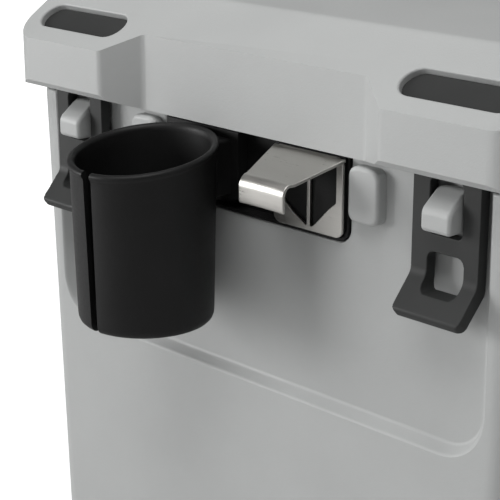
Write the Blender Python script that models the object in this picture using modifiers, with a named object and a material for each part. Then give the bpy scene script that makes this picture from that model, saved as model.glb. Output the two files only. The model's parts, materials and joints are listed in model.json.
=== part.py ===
"""Wheeled cooler box: moulded tub and lid, rubber strap latches, clip-in cup
holder and bottle opener, two wheels on an axle, swinging tow handle.

Lengths in the design are millimetres. x runs to the right seen from the front,
y runs back from the front face of the lid's corner blocks, z runs up from the
ground. CENTRE_X and CENTRE_Y move the origin to the bottom centre of the whole
object's box. Blender units are metres.
"""

import math

import bmesh
import bpy
from mathutils import Matrix, Vector

for old in list(bpy.data.objects):
    bpy.data.objects.remove(old, do_unlink=True)

MM = 0.001
GAP = 0.35  # clearance between touching pieces

CENTRE_X = 2.25
CENTRE_Y = 169.31

# Tub
SEAM_Z = 444.0  # top of the tub
BASE_Z = 14.0  # underside of the tub
TUB_HALF_X = 226.0
TUB_FRONT_Y = 18.2
TUB_REAR_Y = 402.0
TUB_DRAFT = 6.0  # each side leans in this much from top to bottom
TUB_CORNER = 20.0
SHELL_CAVITY = (214.0, 46.0, 388.0)  # half x, front y, rear y of the foam space
SHELL_FLOOR_Z = 22.0
SHELF_Z = 204.0  # raised floor of the foam space over the wheels
SHELF_X = 62.0

PANEL_HALF_X = 196.0  # shallow front panel, on its floor
PANEL_FLOOR_Y = 26.0
PANEL_BOTTOM_Z = 272.6
PANEL_CORNER = 26.0
PANEL_LEAN = 0.0135

POCKET_HALF_X = 86.0  # pocket that takes the accessory bracket
POCKET_BOTTOM_Z = 385.2
POCKET_DEPTH_Y = 38.5

POST_X = (159.6, 181.7)  # latch posts
POST_NOSE_Y = 4.2

# Lid
LID_HALF_X = 228.0
LID_REAR_Y = 405.0
LID_EDGE_Z = 454.0  # lower front edge of the corner blocks
LID_UNDER_Z = 444.7
LID_TOP_Z = 523.2
LID_SLOPE = 0.64
LID_FACE_Z = 485.7  # top of the corner blocks' upright front face
LID_CORNER = 20.0
RECESS_Y = 20.0  # middle stretch of the lid's front
RECESS_HALF_X = 103.1
BLOCK_INNER_X = 129.4

# Latches
LATCH_X = 170.65
STRAP_HALF_X = 25.35
LATCH_AXIS_Y = 19.3
LATCH_AXIS_Z = 456.0

# Hinge
HINGE_Y = 413.5
HINGE_Z = 444.35
HINGE_X = 140.0

# Wheels
WHEEL_X = 172.0
WHEEL_Z = 90.0
WHEEL_R = 90.0
WELL_R = 97.0
WHEEL_WIDTH = 42.0
WHEEL_FRONT_Y = 24.0
WHEEL_REAR_Y = 396.0 - WHEEL_WIDTH
AXLE_R = 6.0

# Tow handle and carry handle
TOW_X = -244.0
TOW_Z = 395.0
TOW_Y = (108.0, 302.0)
TOW_BAR_Z = 100.0
CARRY_X = 241.0
CARRY_Z = 400.0
CARRY_Y = (140.0, 270.0)
CARRY_BAR_Z = 345.0

# Cup holder and opener
CUP_X = -49.5
CUP_Y = -29.5
CUP_TILT = 0.154
OPENER_X = 53.9

# Drain
DRAIN_Y = 205.0
DRAIN_Z = 73.0


# ---------------------------------------------------------------- collections
parts = bpy.data.collections.new("cooler_on_wheels")
cutters = bpy.data.collections.new("cooler_cutters")
bpy.context.scene.collection.children.link(parts)
bpy.context.scene.collection.children.link(cutters)


def material(name, colour, roughness, metallic=0.0):
    made = bpy.data.materials.new(name)
    made.use_nodes = True
    shader = made.node_tree.nodes["Principled BSDF"]
    shader.inputs["Base Color"].default_value = (*colour, 1.0)
    shader.inputs["Roughness"].default_value = roughness
    shader.inputs["Metallic"].default_value = metallic
    return made


SHELL_GREY = material("shell_grey", (0.50, 0.51, 0.50), 0.45)
LINER_WHITE = material("liner_white", (0.80, 0.81, 0.80), 0.35)
FOAM = material("foam", (0.85, 0.78, 0.55), 0.9)
LATCH_RUBBER = material("latch_rubber", (0.050, 0.052, 0.050), 0.6)
BLACK_PLASTIC = material("black_plastic", (0.012, 0.012, 0.012), 0.45)
STEEL = material("steel", (0.62, 0.60, 0.56), 0.3, 1.0)
SEAL_RUBBER = material("seal_rubber", (0.16, 0.16, 0.16), 0.7)
TYRE_RUBBER = material("tyre_rubber", (0.02, 0.02, 0.02), 0.75)
RIM_PLASTIC = material("rim_plastic", (0.08, 0.082, 0.08), 0.5)
ALUMINIUM = material("aluminium", (0.70, 0.70, 0.71), 0.35, 1.0)
NYLON = material("nylon", (0.75, 0.74, 0.70), 0.5)


# -------------------------------------------------------------------- shaping
def bake(obj):
    """The mesh of a helper object with its modifiers, as a bmesh; the helper goes."""
    graph = bpy.context.evaluated_depsgraph_get()
    mesh = bpy.data.meshes.new_from_object(obj.evaluated_get(graph))
    bm = bmesh.new()
    bm.from_mesh(mesh)
    bpy.data.meshes.remove(mesh)
    data = obj.data
    bpy.data.objects.remove(obj, do_unlink=True)
    if isinstance(data, bpy.types.Curve):
        bpy.data.curves.remove(data)
    else:
        bpy.data.meshes.remove(data)
    bmesh.ops.remove_doubles(bm, verts=bm.verts, dist=0.001)
    bmesh.ops.recalc_face_normals(bm, faces=bm.faces)
    return bm


def helper(data):
    obj = bpy.data.objects.new("helper", data)
    bpy.context.scene.collection.objects.link(obj)
    return obj


def block(low, high, bevel=0.0, segments=1, edges=None):
    bm = bmesh.new()
    bmesh.ops.create_cube(bm, size=1.0)
    size = [high[i] - low[i] for i in range(3)]
    middle = [(high[i] + low[i]) / 2 for i in range(3)]
    bmesh.ops.scale(bm, vec=size, verts=bm.verts)
    bmesh.ops.translate(bm, vec=middle, verts=bm.verts)
    if bevel:
        chosen = [e for e in bm.edges if edges is None or edges(e)]
        bmesh.ops.bevel(bm, geom=chosen, offset=bevel, segments=segments, affect="EDGES", profile=0.5)
    return bm


def along(axis):
    """Turns +Z onto the named axis."""
    return {
        "X": Matrix.Rotation(math.radians(90), 4, "Y"),
        "Y": Matrix.Rotation(math.radians(-90), 4, "X"),
        "Z": Matrix.Identity(4),
    }[axis]


def rod(centre, axis, radius, length, segments=24, bevel=0.0):
    bm = bmesh.new()
    bmesh.ops.create_cone(bm, cap_ends=True, segments=segments, radius1=radius, radius2=radius, depth=length)
    if bevel:
        rims = [e for e in bm.edges if abs(e.verts[0].co.z - e.verts[1].co.z) < 1e-4]
        bmesh.ops.bevel(bm, geom=rims, offset=bevel, segments=1, affect="EDGES", profile=0.5)
    bm.transform(Matrix.Translation(Vector(centre)) @ along(axis))
    return bm


def outline(points, low, high, plane):
    """A flat outline given thickness. plane names the outline's two axes."""
    curve = bpy.data.curves.new("outline", "CURVE")
    curve.dimensions = "2D"
    curve.fill_mode = "BOTH"
    curve.extrude = (high - low) / 2
    spline = curve.splines.new("POLY")
    spline.points.add(len(points) - 1)
    for point, (u, v) in zip(spline.points, points):
        point.co = (u, v, 0.0, 1.0)
    spline.use_cyclic_u = True
    bm = bake(helper(curve))
    middle = (low + high) / 2
    if plane == "XY":
        turn = Matrix.Translation((0, 0, middle))
    elif plane == "XZ":
        turn = Matrix.Translation((0, middle, 0)) @ Matrix(((1, 0, 0, 0), (0, 0, -1, 0), (0, 1, 0, 0), (0, 0, 0, 1)))
    else:  # YZ
        turn = Matrix.Translation((middle, 0, 0)) @ Matrix(((0, 0, 1, 0), (1, 0, 0, 0), (0, 1, 0, 0), (0, 0, 0, 1)))
    bm.transform(turn)
    bmesh.ops.recalc_face_normals(bm, faces=bm.faces)
    return bm


def turned(profile, centre, axis, segments=32):
    """A profile of (radius, height) points turned about its axis."""
    mesh = bpy.data.meshes.new("profile")
    mesh.from_pydata([(r, 0.0, h) for r, h in profile], [(i, i + 1) for i in range(len(profile) - 1)], [])
    obj = helper(mesh)
    screw = obj.modifiers.new("turn", "SCREW")
    screw.steps = screw.render_steps = segments
    screw.use_merge_vertices = True
    screw.merge_threshold = 0.0001
    bm = bake(obj)
    bm.transform(Matrix.Translation(Vector(centre)) @ along(axis))
    return bm


def tube(points, radius, resolution=2):
    curve = bpy.data.curves.new("tube", "CURVE")
    curve.dimensions = "3D"
    curve.bevel_depth = radius
    curve.bevel_resolution = resolution
    curve.use_fill_caps = True
    spline = curve.splines.new("POLY")
    spline.points.add(len(points) - 1)
    for point, co in zip(spline.points, points):
        point.co = (*co, 1.0)
    return bake(helper(curve))


def loft(rings):
    """Rings of equal point counts joined in order and closed at both ends."""
    bm = bmesh.new()
    rows = [[bm.verts.new(p) for p in ring] for ring in rings]
    count = len(rows[0])
    for a, b in zip(rows, rows[1:]):
        for i in range(count):
            bm.faces.new((a[i], a[(i + 1) % count], b[(i + 1) % count], b[i]))
    bm.faces.new(rows[0])
    bm.faces.new(rows[-1])
    bmesh.ops.recalc_face_normals(bm, faces=bm.faces)
    return bm


def rounded(points, radii, steps=4):
    """A closed outline with its corners rounded by arcs."""
    made = []
    count = len(points)
    for i in range(count):
        here = Vector(points[i])
        radius = radii[i] if isinstance(radii, (list, tuple)) else radii
        if radius <= 0:
            made.append(tuple(here))
            continue
        back = (Vector(points[i - 1]) - here).normalized()
        on = (Vector(points[(i + 1) % count]) - here).normalized()
        half = math.acos(max(-1.0, min(1.0, back.dot(on)))) / 2
        reach = radius / math.tan(half)
        centre = here + (back + on).normalized() * (radius / math.sin(half))
        start = here + back * reach - centre
        end = here + on * reach - centre
        sweep = math.atan2(start.x * end.y - start.y * end.x, start.dot(end))
        for k in range(steps + 1):
            turn = sweep * k / steps
            c, s = math.cos(turn), math.sin(turn)
            made.append((centre.x + start.x * c - start.y * s, centre.y + start.x * s + start.y * c))
    return made


def box_outline(x0, y0, x1, y1, radius, steps=4):
    return rounded([(x0, y0), (x1, y0), (x1, y1), (x0, y1)], radius, steps)


def stadium(half_length, radius, steps=8):
    made = []
    for side, start in ((1, -90), (-1, 90)):
        for k in range(steps + 1):
            turn = math.radians(start + 180 * k / steps)
            made.append((side * (half_length - radius) + radius * math.cos(turn), radius * math.sin(turn)))
    return made


# ------------------------------------------------------------------- placing
def design(x, y, z):
    return Vector(((x - CENTRE_X) * MM, (y - CENTRE_Y) * MM, z * MM))


def axis_empty(name, x, y, z):
    empty = bpy.data.objects.new(name, None)
    empty.empty_display_size = 0.03
    empty.location = design(x, y, z)
    parts.objects.link(empty)
    return empty


def add(name, bm, mat, origin=(0.0, 0.0, 0.0), parent=None, home=None, smooth=True):
    """An object from a design-space bmesh, its origin at the given design point."""
    place = design(*origin)
    bm.transform(Matrix.Translation(Vector((-CENTRE_X, -CENTRE_Y, 0.0))))
    bmesh.ops.scale(bm, vec=(MM, MM, MM), verts=bm.verts)
    bmesh.ops.translate(bm, vec=-place, verts=bm.verts)
    mesh = bpy.data.meshes.new(name)
    bm.to_mesh(mesh)
    bm.free()
    if mat is not None:
        mesh.materials.append(mat)
    if smooth:
        mesh.shade_smooth()
        mesh.set_sharp_from_angle(angle=math.radians(35))
    obj = bpy.data.objects.new(name, mesh)
    (home or parts).objects.link(obj)
    obj.location = place
    if parent is not None:
        obj.parent = parent
        obj.location = place - parent.location
    return obj


def shape(target, name, bm, operation="DIFFERENCE"):
    """Cuts or joins a helper solid, which stays in the cutters' collection."""
    tool = add("cut_" + name, bm, None, parent=target.parent, home=cutters, smooth=False)
    tool.hide_render = True
    tool.display_type = "WIRE"
    modifier = target.modifiers.new(name, "BOOLEAN")
    modifier.operation = operation
    modifier.solver = "EXACT"
    modifier.object = tool
    return tool


# ---------------------------------------------------------------------- tub
def tub_ring(z, inset, radius, steps=5):
    down = (SEAM_Z - z) / (SEAM_Z - BASE_Z) * TUB_DRAFT
    lean = down + inset
    ring = box_outline(-TUB_HALF_X + lean, TUB_FRONT_Y + lean, TUB_HALF_X - lean, TUB_REAR_Y - lean, radius, steps)
    return [(x, y, z) for x, y in ring]


shell = add(
    "outer_shell",
    loft([tub_ring(BASE_Z, 8.0, 14.0), tub_ring(BASE_Z + 8.0, 1.0, TUB_CORNER), tub_ring(SEAM_Z, 0.0, TUB_CORNER)]),
    SHELL_GREY,
)


def panel_ring(y, grow):
    low = PANEL_BOTTOM_Z - grow * 0.75
    half = PANEL_HALF_X + grow * 0.65
    flat = rounded([(-half, low), (half, low), (half, SEAM_Z + 12), (-half, SEAM_Z + 12)], [PANEL_CORNER + grow, PANEL_CORNER + grow, 0, 0], 6)
    return [(x, y + PANEL_LEAN * (SEAM_Z - z), z) for x, z in flat]


panel_cut = shape(shell, "front_panel", loft([panel_ring(PANEL_FLOOR_Y, 0.0), panel_ring(PANEL_FLOOR_Y - 20.0, 20.0)]))
for side, word in ((-1, "left"), (1, "right")):
    x0, x1 = sorted((side * 90.6, side * 115.6))
    pad = outline(box_outline(x0, 403.6, x1, 440.6, 6.5, 4), 17.0, PANEL_FLOOR_Y + 6.0, "XZ")
    shape(panel_cut, "pad_" + word, pad)
shape(shell, "bracket_pocket", outline(rounded([(-POCKET_HALF_X, POCKET_BOTTOM_Z), (POCKET_HALF_X, POCKET_BOTTOM_Z), (POCKET_HALF_X, SEAM_Z + 8), (-POCKET_HALF_X, SEAM_Z + 8)], [10, 10, 0, 0], 5), 8.0, POCKET_DEPTH_Y, "XZ"))

half, front, rear = SHELL_CAVITY
shape(shell, "foam_space_upper", block((-half, front, SHELF_Z), (half, rear, SEAM_Z + 10), 12.0, 2, lambda e: abs(e.verts[0].co.z - e.verts[1].co.z) > 1))
shape(shell, "foam_space_lower", block((-half + 3, front + 3, SHELL_FLOOR_Z), (SHELF_X, rear - 3, SHELF_Z + 10)))


def well(y0, y1):
    arch = [(WHEEL_X - WELL_R, -10.0), (260.0, -10.0), (260.0, WHEEL_Z + WELL_R), (WHEEL_X, WHEEL_Z + WELL_R)]
    for k in range(1, 10):
        turn = math.radians(90 + 10 * k)
        arch.append((WHEEL_X + WELL_R * math.cos(turn), WHEEL_Z + WELL_R * math.sin(turn)))
    return outline(arch, y0, y1, "XZ")


shape(shell, "wheel_well_front", well(-10.0, 76.0))
shape(shell, "wheel_well_rear", well(344.0, 430.0))
shape(shell, "undercut", block((84.0, 84.0, -10.0), (208.0, 336.0, 190.0)))
shape(shell, "axle_hole", rod((WHEEL_X, 210.0, WHEEL_Z), "Y", AXLE_R + 0.4, 300.0, 24))
shape(shell, "drain_hole", rod((-215.0, DRAIN_Y, DRAIN_Z), "X", 12.5, 60.0, 24))


def post(x0, x1):
    profile = [(30.0, 441.0), (19.7, 441.3), (13.1, 438.9), (7.7, 434.0), (POST_NOSE_Y, 428.0), (POST_NOSE_Y, 418.0), (6.2, 415.6), (30.0, 415.0)]
    bm = outline(profile, x0, x1, "YZ")
    rims = [e for e in bm.edges if abs(e.verts[0].co.x - e.verts[1].co.x) < 1e-3 and min(v.co.y for v in e.verts) < 29.0]
    bmesh.ops.bevel(bm, geom=rims, offset=1.6, segments=2, affect="EDGES", profile=0.5)
    bmesh.ops.recalc_face_normals(bm, faces=bm.faces)
    return bm


shape(shell, "post_right", post(*POST_X), "UNION")
shape(shell, "post_left", post(-POST_X[1], -POST_X[0]), "UNION")

# Insulating foam between the tub's outer shell and its liner
FOAM_OUT = 0.4
foam = add(
    "tub_foam",
    block((-half + FOAM_OUT, front + FOAM_OUT, SHELF_Z + FOAM_OUT), (half - FOAM_OUT, rear - FOAM_OUT, 439.6), 12.0, 2, lambda e: abs(e.verts[0].co.z - e.verts[1].co.z) > 1),
    FOAM,
)
shape(foam, "foam_lower", block((-half + 3 + FOAM_OUT, front + 3 + FOAM_OUT, SHELL_FLOOR_Z + FOAM_OUT), (SHELF_X - FOAM_OUT, rear - 3 - FOAM_OUT, SHELF_Z + 8.0)), "UNION")

LINER = (192.0, 66.0, 368.0)  # half x, front y, rear y of the liner's outside
LINER_WALL = 3.0
LINER_FLOOR_Z = 47.0
LINER_SHELF_Z = 225.0
LINER_SHELF_X = 44.0


def liner_solid(grow, top):
    upper = block((-LINER[0] - grow, LINER[1] - grow, LINER_SHELF_Z - grow), (LINER[0] + grow, LINER[2] + grow, top), 14.0 + grow, 3, lambda e: abs(e.verts[0].co.z - e.verts[1].co.z) > 1)
    lower = block((-LINER[0] - grow, LINER[1] - grow, LINER_FLOOR_Z - grow), (LINER_SHELF_X + grow, LINER[2] + grow, LINER_SHELF_Z + 25), 14.0 + grow, 3, lambda e: abs(e.verts[0].co.z - e.verts[1].co.z) > 1)
    return upper, lower


upper, lower = liner_solid(0.4, SEAM_Z + 8)
shape(foam, "liner_space_upper", upper)
shape(foam, "liner_space_lower", lower)
shape(foam, "foam_drain_hole", rod((-205.0, DRAIN_Y, DRAIN_Z), "X", 12.5, 60.0, 24))

upper, lower = liner_solid(0.0, 443.6)
liner = add("tub_liner", upper, LINER_WHITE)
shape(liner, "liner_lower", lower, "UNION")
shape(liner, "liner_flange", block((-half + 0.5, front + 0.5, 440.2), (half - 0.5, rear - 0.5, 443.6), 12.0, 2, lambda e: abs(e.verts[0].co.z - e.verts[1].co.z) > 1), "UNION")
upper, lower = liner_solid(-LINER_WALL, SEAM_Z + 8)
shape(liner, "store_upper", upper)
shape(liner, "store_lower", lower)
shape(liner, "liner_drain_hole", rod((-190.0, DRAIN_Y, DRAIN_Z), "X", 12.5, 12.0, 24))

# ---------------------------------------------------------------- accessories
bracket = add("accessory_bracket", outline(rounded([(-85.6, 385.6), (85.6, 385.6), (85.6, 443.0), (-85.6, 443.0)], [9.6, 9.6, 0, 0], 5), 25.2, 38.1, "XZ"), BLACK_PLASTIC)
shape(bracket, "bracket_tray", outline(rounded([(-83.6, 388.0), (83.6, 388.0), (83.6, 450.0), (-83.6, 450.0)], [7.2, 7.2, 0, 0], 5), 20.0, 33.2, "XZ"))

RIM_Z = 435.2
cup_profile = [
    (0.0, 319.0), (39.0, 319.0), (42.0, 321.2), (43.1, 325.0), (45.5, 424.0), (45.7, RIM_Z - 3.4), (46.9, RIM_Z - 1.0), (48.4, RIM_Z),
    (50.0, RIM_Z - 0.5), (50.9, RIM_Z - 2.0), (50.7, RIM_Z - 3.6), (49.5, RIM_Z - 5.4), (49.3, 424.0), (46.9, 321.5), (45.8, 317.4), (42.6, 315.0), (0.0, 315.0),
]
cup_bm = turned(cup_profile, (CUP_X, CUP_Y, 0.0), "Z", 40)
for vert in cup_bm.verts:
    if vert.co.z > 415.0:
        vert.co.z += CUP_TILT * (vert.co.y - CUP_Y)
cup = add("cup_holder", cup_bm, BLACK_PLASTIC)
plate = outline(rounded([(-83.2, 394.0), (-13.0, 394.0), (-13.0, 442.5), (-83.2, 442.5)], [6, 6, 0, 0], 4), 23.8, 32.8, "XZ")
shape(cup, "cup_plate", plate, "UNION")
shape(cup, "cup_web", block((-80.0, -4.0, 398.0), (-20.0, 26.0, 437.0)), "UNION")
shape(cup, "cup_bore", turned([(0.0, 446.0), (45.6, 446.0), (45.4, 419.0), (43.1, 325.0), (42.0, 321.2), (39.0, 319.0), (0.0, 319.0)], (CUP_X, CUP_Y, 0.0), "Z", 40))
shape(cup, "mug_slit", outline([(CUP_X - 3.0, 310.0), (CUP_X + 3.0, 310.0), (CUP_X + 4.1, 450.0), (CUP_X - 4.1, 450.0)], -95.0, -69.5, "XZ"))

opener_base = add("opener_base", outline(rounded([(22.0, 389.2), (83.2, 389.2), (83.2, 442.5), (22.0, 442.5)], [6, 6, 0, 0], 4), 24.0, 32.8, "XZ"), BLACK_PLASTIC)

SHEET = 2.2


def hood():
    """The opener's hood and lip: one bent sheet, narrowing toward the lip."""
    top = [(22.0, 442.2), (-18.5, 430.0)]
    centre = (-17.3, 425.9)
    outer, inner = [(22.0, 442.4)], [(22.0, 440.1)]
    for k in range(6):
        turn = math.radians(106.5 + 73.5 * k / 5)
        outer.append((centre[0] + 5.7 * math.cos(turn), centre[1] + 5.7 * math.sin(turn)))
        inner.append((centre[0] + 3.5 * math.cos(turn), centre[1] + 3.5 * math.sin(turn)))
    outer.append((-23.0, 413.4))
    inner.append((-20.8, 413.4))
    bm = outline(outer + inner[::-1], -31.5, 31.5, "YZ")
    for vert in bm.verts:
        share = max(0.0, min(1.0, (22.0 - vert.co.y) / 41.0))
        vert.co.x = OPENER_X + vert.co.x * (1.0 - 0.37 * share)
    bmesh.ops.recalc_face_normals(bm, faces=bm.faces)
    return bm


opener = add("bottle_opener", outline(box_outline(OPENER_X - 31.5, 388.8, OPENER_X + 29.4, 442.4, 6.0, 4), 21.4, 23.6, "XZ"), STEEL)
shape(opener, "opener_hood", hood(), "UNION")
catch_left = [(OPENER_X - 25.5, 436.5), (OPENER_X - 25.5, 408.0), (OPENER_X - 14.0, 399.0), (OPENER_X - 1.6, 392.0), (OPENER_X - 1.6, 436.5)]
catch_right = [(OPENER_X + 1.6, 436.5), (OPENER_X + 1.6, 392.0), (OPENER_X + 4.6, 393.0), (OPENER_X + 18.0, 407.0), (OPENER_X + 24.0, 412.0), (OPENER_X + 24.0, 436.5)]
shape(opener, "catch_left", outline(catch_left, 15.0, 30.0, "XZ"))
shape(opener, "catch_right", outline(catch_right, 19.0, 30.0, "XZ"))

# ----------------------------------------------------------------------- lid
lid_axis = axis_empty("lid_hinge_axis", 0.0, HINGE_Y, HINGE_Z)
LID_ORIGIN = (0.0, HINGE_Y, HINGE_Z)
slope_top_y = (LID_TOP_Z - LID_FACE_Z) / LID_SLOPE
side_profile = [
    (4.2, LID_EDGE_Z - 4.2), (RECESS_Y, LID_UNDER_Z), (LID_REAR_Y + 9.0, LID_UNDER_Z), (LID_REAR_Y + 9.0, LID_TOP_Z - 28.0), (LID_REAR_Y - 9.0, LID_TOP_Z),
    (slope_top_y, LID_TOP_Z), (-10.0, LID_FACE_Z - 10.0 * LID_SLOPE), (-10.0, LID_EDGE_Z + 10.0),
]
lid = add("lid_shell", outline(side_profile, -LID_HALF_X - 5, LID_HALF_X + 5, "YZ"), SHELL_GREY, LID_ORIGIN, lid_axis)
plan = rounded(
    [
        (-LID_HALF_X, 0.0), (-BLOCK_INNER_X, 0.0), (-RECESS_HALF_X, RECESS_Y), (RECESS_HALF_X, RECESS_Y), (BLOCK_INNER_X, 0.0), (LID_HALF_X, 0.0),
        (LID_HALF_X, LID_REAR_Y), (-LID_HALF_X, LID_REAR_Y),
    ],
    [LID_CORNER, 9.0, 9.0, 9.0, 9.0, LID_CORNER, LID_CORNER, LID_CORNER],
    4,
)
shape(lid, "lid_plan", outline(plan, 430.0, 530.0, "XY"), "INTERSECT")
shape(lid, "lid_hollow", outline([(42.0, 430.0), (393.0, 430.0), (393.0, 514.5), (64.0, 514.5), (42.0, 501.0)], -216.0, 216.0, "YZ"))

incline = math.atan(LID_SLOPE)


def on_slope(bm, x, y, below):
    """Moves a solid built about the origin onto the lid's front slope."""
    normal = Vector((0.0, -math.sin(incline), math.cos(incline)))
    spot = Vector((x, y, LID_FACE_Z + LID_SLOPE * y)) - normal * below
    bm.transform(Matrix.Translation(spot) @ Matrix.Rotation(incline, 4, "X"))
    return bm


for side, word in ((-1, "left"), (1, "right")):
    x = side * LATCH_X
    shape(lid, "latch_slot_" + word, block((x - 27.4, 4.6, 440.0), (x + 27.4, 31.0, 465.0)))
    shape(lid, "pin_hole_" + word, rod((x, LATCH_AXIS_Y, LATCH_AXIS_Z), "X", 2.8, 67.0, 16))
    shape(lid, "cap_pocket_" + word, on_slope(outline(stadium(43.9, 12.2), -6.9, 10.0, "XY"), side * 172.0, 22.7, 0.0))

lid_foam = add("lid_foam", outline([(42.4, 449.4), (392.6, 449.4), (392.6, 514.1), (64.11, 514.1), (42.4, 500.78)], -215.6, 215.6, "YZ"), FOAM, LID_ORIGIN, lid_axis)
lid_liner = add("lid_liner", block((-215.6, 42.4, 445.0), (215.6, 392.6, 449.0), 10.0, 2, lambda e: abs(e.verts[0].co.z - e.verts[1].co.z) > 1), LINER_WHITE, LID_ORIGIN, lid_axis)
shape(lid_liner, "lid_plug", block((-184.0, 74.0, 433.5), (184.0, 360.0, 446.0), 12.0, 2, lambda e: abs(e.verts[0].co.z - e.verts[1].co.z) > 1), "UNION")


def ring_solid(half_x, y0, y1, wide, z0, z1, grow=0.0):
    outer = block((-half_x - grow, y0 - grow, z0), (half_x + grow, y1 + grow, z1), 10.0 + grow, 2, lambda e: abs(e.verts[0].co.z - e.verts[1].co.z) > 1)
    inner = block((-half_x + wide + grow, y0 + wide + grow, z0 - 2), (half_x - wide - grow, y1 - wide - grow, z1 + 2), 8.0, 2, lambda e: abs(e.verts[0].co.z - e.verts[1].co.z) > 1)
    return outer, inner


outer, inner = ring_solid(205.0, 52.0, 382.0, 7.0, 440.0, 447.9, 0.35)
groove = shape(lid_liner, "seal_groove", outer)
shape(groove, "seal_groove_core", inner)
outer, inner = ring_solid(205.0, 52.0, 382.0, 7.0, 443.95, 447.5)
seal = add("lid_seal", outer, SEAL_RUBBER, LID_ORIGIN, lid_axis)
shape(seal, "seal_core", inner)

for side, word in ((-1, "left"), (1, "right")):
    x = side * LATCH_X
    add("latch_cap_" + word, on_slope(outline(stadium(43.5, 11.8), -6.5, -4.0, "XY"), side * 172.0, 22.7, 0.0), LATCH_RUBBER, LID_ORIGIN, lid_axis)
    add("latch_pin_" + word, rod((x, LATCH_AXIS_Y, LATCH_AXIS_Z), "X", 2.45, 66.2, 16), STEEL, LID_ORIGIN, lid_axis)

# ------------------------------------------------------------------- latches
STRAP_BACK_Y = 23.6


def strap(x):
    barrel = []
    for k in range(9):
        turn = math.radians(-20 + 220 * k / 8)
        barrel.append((LATCH_AXIS_Y + 6.3 * math.cos(turn), LATCH_AXIS_Z + 6.3 * math.sin(turn)))
    profile = barrel + [
        (15.0, 448.0), (15.0, 386.5), (13.6, 383.2), (5.4, 374.0), (-2.2, 365.9), (-2.9, 364.2), (-2.2, 361.4), (0.2, 359.8),
        (3.2, 359.9), (5.6, 361.2), (21.4, 376.4), (STRAP_BACK_Y, 381.0), (STRAP_BACK_Y, 448.0),
    ]
    bm = outline(profile, x - STRAP_HALF_X, x + STRAP_HALF_X, "YZ")
    rims = [e for e in bm.edges if abs(e.verts[0].co.x - e.verts[1].co.x) < 1e-3 and max(v.co.z for v in e.verts) < 449.0]
    bmesh.ops.bevel(bm, geom=rims, offset=1.2, segments=1, affect="EDGES", profile=0.5)
    bmesh.ops.recalc_face_normals(bm, faces=bm.faces)
    return bm


for side, word in ((-1, "left"), (1, "right")):
    x = side * LATCH_X
    pivot = (x, LATCH_AXIS_Y, LATCH_AXIS_Z)
    axis = axis_empty("latch_axis_" + word, *pivot)
    axis.parent = lid_axis
    axis.location = design(*pivot) - lid_axis.location
    bpy.context.view_layer.update()
    made = add("latch_strap_" + word, strap(x), LATCH_RUBBER, pivot)
    made.parent = axis
    made.location = (0.0, 0.0, 0.0)
    for name, bm in (
        ("strap_bore_", rod(pivot, "X", 2.8, 70.0, 16)),
        ("strap_window_", outline(box_outline(x - 12.4, 411.6, x + 12.4, 446.0, 3.0, 3), 5.0, 35.0, "XZ")),
        ("finger_hole_", outline(box_outline(x + side * 0.8 - 13.6, 375.2, x + side * 0.8 + 13.6, 400.2, 5.0, 4), -10.0, 35.0, "XZ")),
    ):
        tool = shape(made, name + word, bm)
        tool.parent = axis
        tool.location = design(0.0, 0.0, 0.0) - design(*pivot)

# --------------------------------------------------------------------- hinge
for side, word in ((-1, "left"), (1, "right")):
    x = side * HINGE_X
    leaf = add("lid_hinge_leaf_" + word, block((x - 30, LID_REAR_Y + GAP, 450.5), (x + 30, LID_REAR_Y + 3.4, 476.0), 1.0, 1), BLACK_PLASTIC, LID_ORIGIN, lid_axis)
    shape(leaf, "lid_knuckle_" + word, rod((x, HINGE_Y, HINGE_Z), "X", 5.5, 22.0, 20), "UNION")
    shape(leaf, "lid_knuckle_web_" + word, block((x - 11, LID_REAR_Y + GAP, 445.5), (x + 11, HINGE_Y + 2.0, 452.0)), "UNION")
    shape(leaf, "lid_knuckle_bore_" + word, rod((x, HINGE_Y, HINGE_Z), "X", 2.8, 40.0, 16))
    leaf = add("tub_hinge_leaf_" + word, block((x - 30, TUB_REAR_Y + GAP, 404.0), (x + 30, TUB_REAR_Y + 3.6, 441.5), 1.0, 1), BLACK_PLASTIC)
    for end, tag in ((-1, "a"), (1, "b")):
        middle = x + end * 20.3
        shape(leaf, "tub_knuckle_" + tag + word, rod((middle, HINGE_Y, HINGE_Z), "X", 5.5, 18.0, 20), "UNION")
        shape(leaf, "tub_knuckle_web_" + tag + word, block((middle - 9, TUB_REAR_Y + 1.0, 434.0), (middle + 9, HINGE_Y + 3.0, 442.6)), "UNION")
    shape(leaf, "tub_knuckle_bore_" + word, rod((x, HINGE_Y, HINGE_Z), "X", 2.8, 70.0, 16))
    add("hinge_pin_" + word, rod((x, HINGE_Y, HINGE_Z), "X", 2.45, 58.0, 16), STEEL)

# -------------------------------------------------------------------- wheels
add("axle", rod((WHEEL_X, 210.0, WHEEL_Z), "Y", AXLE_R, 389.0, 24, 1.0), STEEL)

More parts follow.
